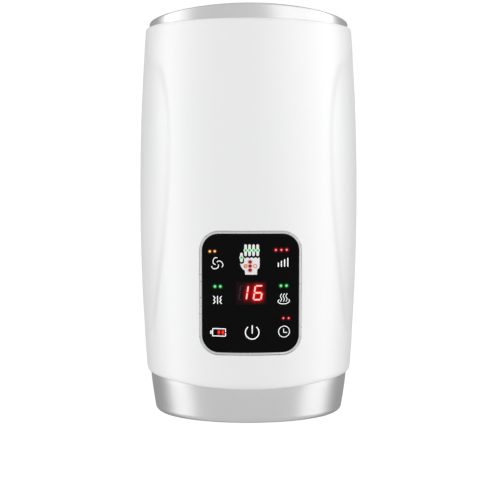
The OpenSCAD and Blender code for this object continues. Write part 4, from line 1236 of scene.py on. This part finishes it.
lining_piping = piping.run(path_object("lining_piping", along_edges(0.0009)), piping_grey)
lining_stitches = stitch.run(path_object("lining_stitches", along_edges(0.0010, 9.0)), thread_grey)
mouth_seam = stitch.run(path_object("collar_stitches", [funnel(0.93, 0.05)], closed=True),
                        thread_grey, Pitch=0.0030, Length=0.0020)
print("stitches:", len(lining_stitches.data.polygons) // 48, "in the lining")

# %% [markdown]
# ## Press cushions
# A cushion hangs from each press plate: a flat back, drawn-in sides and a full face. It is
# sewn a little small and blown up, which is what the cloth simulation does here: pressure
# from inside pushes the cover out while the back is held. Cloth works best at the size of
# furniture, so the simulation runs at ten times the size and is scaled back. How far a
# point may travel is capped, which keeps the cushion in its own space.

# %% The filling
HANG, CUSHION_W, CUSHION_T = 0.0682, 0.076, 0.007
BIG = 10


def read_points(mesh):
    flat = np.empty(len(mesh.vertices) * 3, np.float32)
    mesh.vertices.foreach_get("co", flat)
    return flat.reshape(-1, 3).astype(float)


def write_points(obj, points):
    obj.data.vertices.foreach_set("co", np.asarray(points, np.float32).ravel())
    obj.data.update()


def blown(obj, cap, frames=20, pressure=4.0):
    """Cloth under pressure from inside; the back is pinned and travel is capped."""
    rest = read_points(obj.data)
    held = obj.vertex_groups.new(name="held")
    held.add(np.flatnonzero(rest[:, 2] > -0.0012 * BIG).tolist(), 1.0, "REPLACE")
    cloth = obj.modifiers.new("cloth", "CLOTH")
    for key, value in {
            "quality": 6, "mass": 0.3, "tension_stiffness": 12, "compression_stiffness": 12,
            "shear_stiffness": 5, "bending_stiffness": 0.6, "use_pressure": True,
            "uniform_pressure_force": pressure, "vertex_group_mass": "held"}.items():
        setattr(cloth.settings, key, value)
    cloth.settings.effector_weights.gravity = 0
    cloth.collision_settings.use_self_collision = False
    cloth.point_cache.frame_start, cloth.point_cache.frame_end = 1, frames
    for frame_number in range(1, frames + 1):
        scene.frame_set(frame_number)
    graph = bpy.context.evaluated_depsgraph_get()
    moved = read_points(obj.evaluated_get(graph).data) - rest
    obj.modifiers.clear()
    obj.vertex_groups.clear()
    scene.frame_set(1)
    far = np.linalg.norm(moved, axis=1)
    moved *= (np.minimum(far, cap) / np.maximum(far, 1e-9))[:, None]
    write_points(obj, rest + moved)
    return float(far.max())


print("cushion tools ready")

# %% Two quilted cushions
SHAPE = [(0.02, 0), (0.3, 0), (0.6, 0), (0.94, 0.0), (0.985, 0.18), (1.0, 0.42), (0.975, 0.68),
         (0.9, 0.86), (0.75, 0.94), (0.5, 0.98), (0.2, 1.0), (0.02, 1.0)]   # width, depth


def outline_at(w, l, z, count=96):
    """A level ring of a cushion's outline."""
    return np.array([(x, y, z) for x, y in oblong(w, l / 2, l / 2, 5, count)])


def quilt_depth(points, half_w, half_l):
    """How far the face is drawn up: seams between the cells, and softly beside them."""
    gaps = [np.abs(np.abs(points[:, k]) - half / 3) for k, half in ((0, half_w), (1, half_l))]
    return sum(depth * np.maximum(*(np.exp(-(gap / width) ** 2) for gap in gaps))
               for depth, width in ((0.0010, 0.0011), (0.0009, 0.0042)))


def cushion(name, y0, y1):
    """A pressed-out cushion under a plate, quilted in nine cells."""
    w, l = CUSHION_W * 0.985, (y1 - y0) * 0.985
    blank = face_outwards(skin(name, [outline_at(w * q * BIG, l * q * BIG,
                                                 -CUSHION_T * 0.90 * d * BIG)
                                      for q, d in SHAPE]), fill=True)
    blank.modifiers.new("step", "REMESH").mode = "VOXEL"
    blank.modifiers["step"].voxel_size = 0.0155
    settled(blank)
    far = blown(blank, cap=0.012)
    finer = blank.modifiers.new("step", "SUBSURF")
    finer.levels = finer.render_levels = 1
    points = read_points(settled(blank).data) / BIG
    points[:, 2] = np.minimum(points[:, 2], 0.0)
    points[:, 2] *= -CUSHION_T / points[:, 2].min()
    facing = np.clip((-points[:, 2] / CUSHION_T - 0.55) / 0.25, 0, 1)
    points[:, 2] += facing * quilt_depth(points, w / 2, l / 2)
    write_points(blank, points + (0.0, (y0 + y1) / 2, HANG - 0.00002))
    return dress(lay_cloth(blank), pad_cloth, 180), far


def cushion_trim(name, pad, y0, y1):
    """Piping round the widest line, and thread in the quilting seams."""
    middle, w, l = (y0 + y1) / 2, CUSHION_W, y1 - y0
    line = outline_at(w + 0.0002, l + 0.0002, HANG - 0.42 * CUSHION_T, count=160)
    rope = path_object(name + "_piping", [line + (0, middle, 0)], closed=True)
    points = read_points(pad.data)
    face = points[points[:, 2] < HANG - 0.5 * CUSHION_T]

    def on_face(x, y):
        near = np.argsort((face[:, 0] - x) ** 2 + (face[:, 1] - y) ** 2)[:3]
        return x, y, face[near, 2].mean() - 0.0001

    runs = []
    for s in (-1, 1):
        runs.append([on_face(s * w * 0.985 / 6, y)
                     for y in np.linspace(middle - 0.42 * l, middle + 0.42 * l, 60)])
        runs.append([on_face(x, middle + s * l * 0.985 / 6)
                     for x in np.linspace(-0.42 * w, 0.42 * w, 60)])
    return (piping.run(rope, piping_grey, Radius=0.00055),
            stitch.run(path_object(name + "_stitches", runs), thread_grey,
                       Pitch=0.0024, Length=0.0016))


PALM, FINGER = (-0.075, -0.001), (0.002, 0.076)
palm_pad, far = cushion("palm_pad", *PALM)
finger_pad, _ = cushion("finger_pad", *FINGER)
palm_trim = cushion_trim("palm_pad", palm_pad, *PALM)
finger_trim = cushion_trim("finger_pad", finger_pad, *FINGER)
print("cushion faces:", len(palm_pad.data.polygons), "pushed out by", round(far / BIG / MM, 2), "mm")

# %% [markdown]
# ## Floor pad
# The pad under the hand is a thin foam sheet in the same knit, with a hole round every
# dome. A flat outline with many holes is filled best by triangles: the outline, the holes
# and a few rings beside them are given as points, and Blender's own triangulation joins
# them. The height then follows from each point's distance to the nearest edge, so the
# foam rolls softly down at the rim and round each dome.

# %% Filling an outline with holes
def edge_gap(points, w, l, r, y, holes):
    """Distance from each point to the outline or to the nearest hole."""
    q = np.abs(points - (0, y)) - (w / 2 - r, l / 2 - r)
    gap = -(np.linalg.norm(np.maximum(q, 0), axis=1) + np.minimum(q.max(1), 0) - r)
    for x, hy, hr in holes:
        gap = np.minimum(gap, np.hypot(points[:, 0] - x, points[:, 1] - hy) - hr)
    return gap


def beside(w, l, r, y, holes, inset, start=0.0):
    """Rings a distance inside the outline and outside each hole."""
    rings = [rounded_ring(w - 2 * inset, l - 2 * inset, r - inset, (40, 80), 14) + (0, y)]
    angles = np.linspace(start, FULL_TURN + start, 28, endpoint=False)
    return rings + [np.column_stack([x + (hr + inset) * np.cos(angles),
                                     hy + (hr + inset) * np.sin(angles)]) for x, hy, hr in holes]


def filled_outline(w, l, r, y, holes, pitch, offsets):
    """Points, triangles and edge distances of a rounded rectangle with round holes."""
    shape = (w, l, r, y, holes)
    spare = []
    for o in offsets:
        rings = np.vstack(beside(*shape, o, 0.1))
        spare.append(rings[edge_gap(rings, *shape) > o * 0.98])
    field = np.array([(x + (k % 2) * pitch / 2, v) for k, v in
                      enumerate(np.arange(y - l / 2, y + l / 2, pitch * 0.87))
                      for x in np.arange(-w / 2, w / 2, pitch)])
    spare.append(field[edge_gap(field, *shape) > offsets[-1] + pitch * 0.45])
    points, edges = [], []
    for loop in beside(*shape, 0):
        start, n = len(points), len(loop)
        points += [Vector(p) for p in loop]
        edges += [(start + k, start + (k + 1) % n) for k in range(n)]
    points += [Vector(p) for p in np.vstack(spare)]
    made, _, faces, _, _, _ = delaunay_2d_cdt(points, edges, [], 0, 1e-7)
    made = np.array(made)
    inside = edge_gap(np.array([made[list(f)].mean(0) for f in faces]), *shape) > -1e-6
    made, faces = compact(made, [list(f) for f, keep in zip(faces, inside) if keep])
    return made, faces, np.maximum(edge_gap(made, *shape), 0)


def rolled(gap, radius):
    """How far a face drops near an edge that is rolled over with this radius."""
    t = np.clip(radius - gap, 0, radius)
    return radius - np.sqrt(np.maximum(radius ** 2 - t ** 2, 0))


print("filling tools ready")

# %% The pad itself
PAD = (0.076, 0.152, 0.016, 0.001)
PAD_Z, PAD_T, HEM = 0.0249, 0.0032, 0.0033
CLEAR = 0.0005                           # between a dome and its hole
holes = [(x, y, size + CLEAR) for spots, size in ((palm_spots, PALM_DOME),
                                                  (finger_spots, FINGER_DOME)) for x, y, _ in spots]
flat, cells, gap = filled_outline(*PAD, holes, 0.0021, (0.00012, 0.0004, 0.0008))
soft = PAD_Z + PAD_T - 0.0001 - rolled(gap, 0.0012) + 0.00025 * (1 - np.exp(-gap / 0.0025))
soft -= 0.00015 * (1 + np.sin(flat[:, 0] * 210) * np.sin(flat[:, 1] * 170)) / 2
hand_pad = face_outwards(mesh_object("hand_pad", *walled(
    np.column_stack([flat, soft]), np.column_stack([flat, np.full(len(flat), PAD_Z)]), cells)))
dress(lay_cloth(hand_pad), pad_cloth, 50)
hem_line = [(x, y, PAD_Z + PAD_T + 0.00005) for x, y in beside(*PAD, [], HEM)[0]]
pad_stitches = stitch.run(path_object("hand_pad_stitches", [hem_line], closed=True), thread_grey,
                          Pitch=0.0028, Length=0.0018)
print("floor pad:", len(hand_pad.data.polygons), "faces with", len(holes), "holes")

# %% [markdown]
# ## Airbags
# An airbag is two films welded round the rim, with small round welds that stop the middle
# from ballooning. It lies between the roof and the press plate, which the real bag
# follows down.

# %% Two welded bags
film = Finish("airbag film", tone(0.62, -0.02), 0.3).gloss(0.22, 0.42, 160)
film.mottle((0.56, 0.575, 0.60), (0.66, 0.67, 0.69), 90).grain((480, 3), 0.5, 0.0002)
film.fixed(Subsurface_Weight=0.1, Subsurface_Scale=0.002, IOR=1.45)
BAG_Z, BAG_W, WELD, THIN = 0.072, 0.060, 0.0028, 0.00018


def airbag(name, y0, y1):
    """A flat bag with a welded rim and round welds, drawn as two faces."""
    middle, l = (y0 + y1) / 2, y1 - y0
    flat, cells, gap = filled_outline(BAG_W, l, 0.010, middle, [], 0.0017,
                                      (0.0008, 0.0024, 0.0032))
    rise = np.clip((gap - WELD) / 0.0095, 0, 1)
    full = THIN + 0.00172 * np.sqrt(np.maximum(1 - (1 - rise) ** 2, 0))
    for x in (-0.013, 0.013):
        for along in (-0.25, 0.0, 0.25):
            near = np.hypot(flat[:, 0] - x, flat[:, 1] - middle - along * l)
            full *= 1 - 0.72 * np.exp(-(near / 0.0034) ** 4)
    crease = 0.00006 * np.sin(flat[:, 0] * 900 + 3 * np.sin(flat[:, 1] * 260))
    full = np.maximum(full + crease * rise * (1 - rise) * 4, 0.00015)
    upper, lower = (np.column_stack([flat, BAG_Z + s * full]) for s in (1, -1))
    return dress(face_outwards(mesh_object(name, *walled(upper, lower, cells))), film, 60)


palm_bag = airbag("palm_bag", -0.074, -0.002)
finger_bag = airbag("finger_bag", 0.003, 0.075)
print("airbags:", len(palm_bag.data.polygons), "faces each")

# %% [markdown]
# ## Valve springs
# Each release valve has a small return spring behind its plunger. The spiral is a curve
# primitive in a recipe, swept with a round wire. The real spring is shorter when the
# plunger is drawn back.

# %% Two coil springs
SPRING_Y, SPRING_Z = 0.0414, 0.083
PALM_SPRING_X, FINGER_SPRING_X = 0.0025, 0.0155
spring = Recipe("coil spring on a point", Radius=0.0015, Turns=5.0, Length=0.0042, Wire=0.00026)
spiral = spring.node("GeometryNodeCurveSpiral", {
    "Resolution": 24, "Start Radius": spring.given("Radius"), "End Radius": spring.given("Radius"),
    "Rotations": spring.given("Turns"), "Height": spring.given("Length")})
seat = spring.node("GeometryNodeInstanceOnPoints", {
    "Points": spring.given("Geometry"), "Rotation": (math.radians(-90), 0, 0),
    "Instance": spring.swept(spiral.outputs["Curve"], spring.given("Wire"))})
spring.close(seat.outputs["Instances"])
spring_steel = Finish("spring steel", 0.46, 0.3, 1.0).mottle(0.40, 0.52, 4000, 2)
spring_steel.gloss(0.22, 0.38, 3000)
valve_springs = [
    face_outwards(spring.run(mesh_object(name, [(x, SPRING_Y, SPRING_Z)]), spring_steel))
    for name, x in (("palm_spring", PALM_SPRING_X), ("finger_spring", FINGER_SPRING_X))]
print("springs:", len(valve_springs[0].data.polygons), "faces each")

# %% [markdown]
# ## Finishes of the working parts
# The frames, motors, valves, boards and cells keep their construction shapes, which are
# right already, and get their finishes here. Each is a few sums: a moulded plastic has a
# fine spark-eroded grain, turned metal has rings, a winding has bands with painted shade
# between its turns and a painted highlight on each turn, and a circuit board has tracks
# under green varnish. All of them read the part's own coordinates.

# %% Plastics and rubbers
def moulded(name, colour, rough, grain=2400, depth=0.00004):
    """Injection-moulded plastic with flow marks and a fine grain."""
    made = Finish(name, colour, rough).gloss(rough - 0.06, rough + 0.06, 180)
    made.mottle(tuple(0.93 * c for c in colour), tuple(1.06 * c for c in colour), 55)
    return made.grain((grain, 3), 0.3, depth)


finishes = {
    "white_shell": white, "silver_trim": silver, "bezel": edge_silver, "black_glass": glass,
    "foot_rubber": rubber, "collar": collar_grey, "dome_plastic": dome_grey,
    "lining_cloth": piping_grey, "airbag_film": film,
    "dark_plastic": moulded("housing black plastic", (0.012, 0.012, 0.013), 0.5),
    "frame_plastic": moulded("frame grey plastic", (0.42, 0.42, 0.40), 0.48),
    "crank_plastic": moulded("natural acetal", (0.70, 0.67, 0.58), 0.32, 1200, 0.00002),
    "components": moulded("component black epoxy", (0.016, 0.016, 0.017), 0.56, 5200),
    "diaphragm": moulded("diaphragm rubber", (0.010, 0.010, 0.010), 0.72, 3600),
    "digit_red": moulded("digit face", (0.10, 0.006, 0.006), 0.3, 900, 0.00001),
    "air_tube": moulded("air tube silicone", (0.58, 0.60, 0.62), 0.3, 700, 0.00002),
    "lamps": moulded("lamp resin", (0.62, 0.60, 0.52), 0.22, 900, 0.00001)}
finishes["lamps"].fixed(Subsurface_Weight=0.2, Subsurface_Scale=0.001)
finishes["air_tube"].fixed(Subsurface_Weight=0.35, Subsurface_Scale=0.002, IOR=1.41)
print(len(finishes), "finishes so far")

# %% Metals
def worked_metal(name, colour, rough, stretch, scale=900, depth=0.00001):
    """Metal with tool marks that run along one direction."""
    made = Finish(name, colour, rough, 1.0)
    marks = made.noise(scale, 3, stretch)
    made.feed("Base Color", made.ramp(marks, (0.25, tuple(0.82 * c for c in colour)),
                                      (0.75, tuple(1.12 * c for c in colour))))
    made.feed("Roughness", made.spread(marks, rough - 0.08, rough + 0.10))
    return made.grain(marks, 0.25, depth)


finishes |= {
    "screws": worked_metal("zinc plated screws", (0.56, 0.56, 0.55), 0.32, (1, 1, 1), 2600),
    "motor_can": worked_metal("motor steel", (0.34, 0.34, 0.35), 0.34, (1, 6, 6), 420),
    "heavy_metal": worked_metal("sintered weight", (0.22, 0.22, 0.23), 0.55, (1, 1, 1), 5200,
                                0.00003),
    "socket_metal": worked_metal("socket plating", (0.60, 0.60, 0.58), 0.26, (1, 4, 1), 1500)}
print(len(finishes), "with the metals")

# %% Winding, wires and cells
def banded(name, dark, light, period, axis, rough, metallic=0.0, depth=0.00005):
    """Even bands along one axis, rounded like wires side by side: painted shade in each groove, a
    painted highlight on each crest.
    """
    made = Finish(name, light, rough, metallic)
    split = made.node("ShaderNodeSeparateXYZ", {0: made.coords})
    place = Value(made.tree, split.outputs[axis])
    band = ((place * (1 / period)).math("FRACT") * math.pi).math("SINE")
    # painted shade and highlight: darker in each groove, lighter on each crest, times a random tone
    painted_shade_and_tone = band * Value(made.tree, made.spread(made.noise(1400, 3), 0.75, 1.0))
    made.feed("Base Color", made.ramp(painted_shade_and_tone, (0.1, dark), (0.8, light)))
    made.feed("Roughness", made.spread(band, rough + 0.14, rough, 0.0, 1.0))
    return made.grain(band, 0.5, depth)


finishes |= {
    "valve_coil": banded("copper winding", (0.16, 0.055, 0.018), (0.66, 0.30, 0.11), 0.00042, 1,
                         0.3, 1.0),
    "wires": banded("insulated leads", (0.26, 0.012, 0.010), (0.44, 0.035, 0.028), 0.0052, 1,
                    0.42, depth=0.00001),
    "battery": banded("cell sleeve", (0.020, 0.085, 0.20), (0.034, 0.13, 0.30), 0.0140, 1, 0.28,
                      depth=0.00004),
    "heating_film": banded("heating film", (0.10, 0.052, 0.020), (0.36, 0.135, 0.022), 0.0046, 0,
                           0.36, depth=0.00002)}
print(len(finishes), "with the banded ones")

# %% Circuit board
board = Finish("board varnish", (0.010, 0.085, 0.035), 0.32).gloss(0.26, 0.40, 300)
tracks = board.node("ShaderNodeTexBrick", {
    "Vector": board.coords, "Color1": (0.010, 0.080, 0.032, 1), "Color2": (0.012, 0.098, 0.040, 1),
    "Mortar": (0.022, 0.170, 0.066, 1), "Scale": 210.0, "Mortar Size": 0.045,
    "Mortar Smooth": 0.1, "Brick Width": 1.35, "Row Height": 0.42})
pads = board.node("ShaderNodeTexVoronoi", {"Vector": board.coords, "Scale": 280.0,
                                           "Randomness": 0.55})
pad = Value(board.tree, pads.outputs["Distance"]).math("LESS_THAN", 0.2)
tint = board.node("ShaderNodeMix", {0: pad, 6: tracks.outputs["Color"],
                                    7: (0.72, 0.62, 0.38, 1)}, data_type="RGBA")
board.feed("Base Color", tint.outputs[2]).feed("Metallic", pad)
finishes["circuit_board"] = board.grain(tracks.outputs["Fac"], 0.3, 0.00003)

# %% Finishes onto the construction parts
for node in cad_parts.values():
    for place in node.material_slots:
        place.material = finishes[place.material.name.split(".")[0]].material
print(len(finishes), "finishes given to", len(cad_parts), "construction parts")

# %% [markdown]
# ## Joining the pieces to the moving model
# Each new piece rides on the body that carries it, names the finish slot it takes, and
# says which construction parts it stands for.

# %% Bodies and slots
for body, slot, obj, *nodes in (
        ("housing", "white_shell", upper_shell, "upper_shell"),
        ("housing", "white_shell", lower_shell, "lower_shell"),
        ("housing", "silver_trim", mouth_ring, "mouth_ring"),
        ("housing", "silver_trim", rear_cap, "rear_cap"),
        ("housing", "black_glass", panel_glass, "touch_panel"),
        ("housing", "black_glass", symbols),
        ("housing", "black_glass", hand_symbol),
        ("housing", "bezel", panel_frame, "panel_bezel"),
        ("housing", "digit_red", display),
        ("housing", "foot_rubber", feet, "rubber_feet"),
        ("housing", "dome_plastic", massage_plate, "massage_plate"),
        ("housing", "dome_plastic", palm_domes),
        ("housing", "dome_plastic", finger_domes),
        ("housing", "collar", collar, "mouth_collar"),
        ("housing", "lining_cloth", mouth_seam),
        ("housing", "lining_cloth", lining_left, "chamber_lining"),
        ("housing", "lining_cloth", lining_right),
        ("housing", "lining_cloth", lining_end),
        ("housing", "lining_cloth", lining_piping),
        ("housing", "lining_cloth", lining_stitches),
        ("housing", "lining_cloth", hand_pad, "floor_pad"),
        ("housing", "lining_cloth", pad_stitches),
        ("palm_press", "lining_cloth", palm_pad, "palm_cushion"),
        *(("palm_press", "lining_cloth", trim) for trim in palm_trim),
        ("finger_press", "lining_cloth", finger_pad, "finger_cushion"),
        *(("finger_press", "lining_cloth", trim) for trim in finger_trim),
        ("housing", "motor_can", valve_springs[0], "palm_valve_spring"),
        ("housing", "motor_can", valve_springs[1], "finger_valve_spring"),
        *(("housing", "lamps", lights) for lights in lamp_sets)):
    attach(obj, body)
    if nodes:
        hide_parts(*nodes)
print("pieces placed")

# %% Soft pieces and springs
for obj, body, node in ((palm_bag, "palm_press", "palm_airbag"),
                        (finger_bag, "finger_press", "finger_airbag")):
    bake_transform(obj)
    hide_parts(node)
for obj, joint, x in ((valve_springs[0], "palm_valve_stroke", PALM_SPRING_X),
                      (valve_springs[1], "finger_valve_stroke", FINGER_SPRING_X)):
    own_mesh(obj)

# %% [markdown]
# ## Studio
# Broad soft boxes light a pale floor and backdrop. The floor and the sky give the camera,
# the scattered light and the mirrored light different strengths, as a photographer's
# cards would, so that the silver shows its dark and bright bands. In the mirrored light
# the floor has painted shade: it is dark close to the object and bright further out.

# %% Soft boxes
def soft_light(name, place, look, size, power, diffuse=True, glossy=True):
    """A rectangular soft box that faces a point, unseen by the camera itself."""
    data = bpy.data.lights.new(name, "AREA")
    data.shape, data.size, data.size_y, data.energy = "RECTANGLE", *size, power
    obj = bpy.data.objects.new(name, data)
    obj.location = place
    obj.rotation_euler = (Vector(look) - Vector(place)).to_track_quat("-Z", "Y").to_euler()
    obj.visible_camera, obj.visible_diffuse, obj.visible_glossy = False, diffuse, glossy
    scene.collection.objects.link(obj)


soft_light("overhead box", (0, 0, 1.3), (0, 0, 0.05), (1.1, 1.1), 8.2, glossy=False)
soft_light("front box", (0, -1.0, 0.45), (0, 0, 0.05), (0.9, 0.4), 1.7, glossy=False)
soft_light("rear box", (0.35, 0.95, 0.5), (0, 0, 0.05), (0.9, 0.4), 2.7, glossy=False)
soft_light("high card", (0.30, 0.19, 0.42), (0.03, 0.1, 0.09), (0.35, 0.3), 0.36, diffuse=False)
for x, z, tall, low, power in ((-0.45, 0.145, 0.25, 0.042, 5.2), (0.45, 0.17, 0.30, 0.060, 4.5)):
    soft_light("side card", (x, 0, z), (0, 0, 0.12), (0.9, tall), 2.8 * tall, diffuse=False)
    soft_light("cap card", (0.55 * x, 0.17, low), (0, 0.1, 0.08), (0.25, 0.08), 0.09, diffuse=False)
    soft_light("side glow", (2 * x, 0, 0.22), (0, 0, 0.07), (0.9, 0.4), power, glossy=False)

# %% Floor, backdrop and sky
SHOWN = 0.84                             # strength of the floor and sky that the camera sees
sweep_line = ([(r, 0.0) for r in (0.4, 1.0, 2.0, 3.0)]
              + [(3.0 + math.sin(a), 1.0 - math.cos(a)) for a in np.radians(range(10, 91, 10))]
              + [(4.0, 2.8)])
turns = np.linspace(0, FULL_TURN, 64, endpoint=False)
pale = Finish("pale floor", 0.26, 0.9).mottle(0.255, 0.265, 3).fixed(Specular_IOR_Level=0.0)
floor = dress(skin("floor", [np.array([(r * math.cos(a), r * math.sin(a), z) for a in turns])
                             for r, z in sweep_line[::-1]], cap=True), pale, 60)
paths = pale.node("ShaderNodeLightPath").outputs
seen = Value(pale.tree, paths["Is Camera Ray"]).math("MAXIMUM", Value(
    pale.tree, paths["Is Transmission Ray"]))
# painted shade: the floor's mirrored light is dark close to the object and brightens further out
away = pale.node("ShaderNodeVectorMath", {0: pale.coords}, operation="LENGTH").outputs["Value"]
far = Value(pale.tree, pale.spread(away, 0.04, 0.78, 0.22, 0.46))
share = Value(pale.tree, paths["Is Glossy Ray"]).math("MULTIPLY_ADD", far, seen * SHOWN)
lit = pale.node("ShaderNodeEmission", {"Color": (1, 1, 1, 1), "Strength": share})
both = pale.node("ShaderNodeAddShader", {0: pale.shader.outputs[0], 1: lit.outputs[0]})
pale.tree.links.new(both.outputs[0], pale.tree.nodes["Material Output"].inputs["Surface"])
world = bpy.data.worlds.new("studio")
world.use_nodes = True
scene.world = world
sky = world.node_tree.nodes["Background"].inputs
sky["Color"].default_value = (1, 1, 1, 1)
ray = add_node(world.node_tree, "ShaderNodeLightPath").outputs["Is Glossy Ray"]
mirrored = Value(world.node_tree, ray).math("MULTIPLY_ADD", SHOWN - 0.34, 0.34)
world.node_tree.links.new(mirrored.socket, sky["Strength"])
print("floor and sky ready")
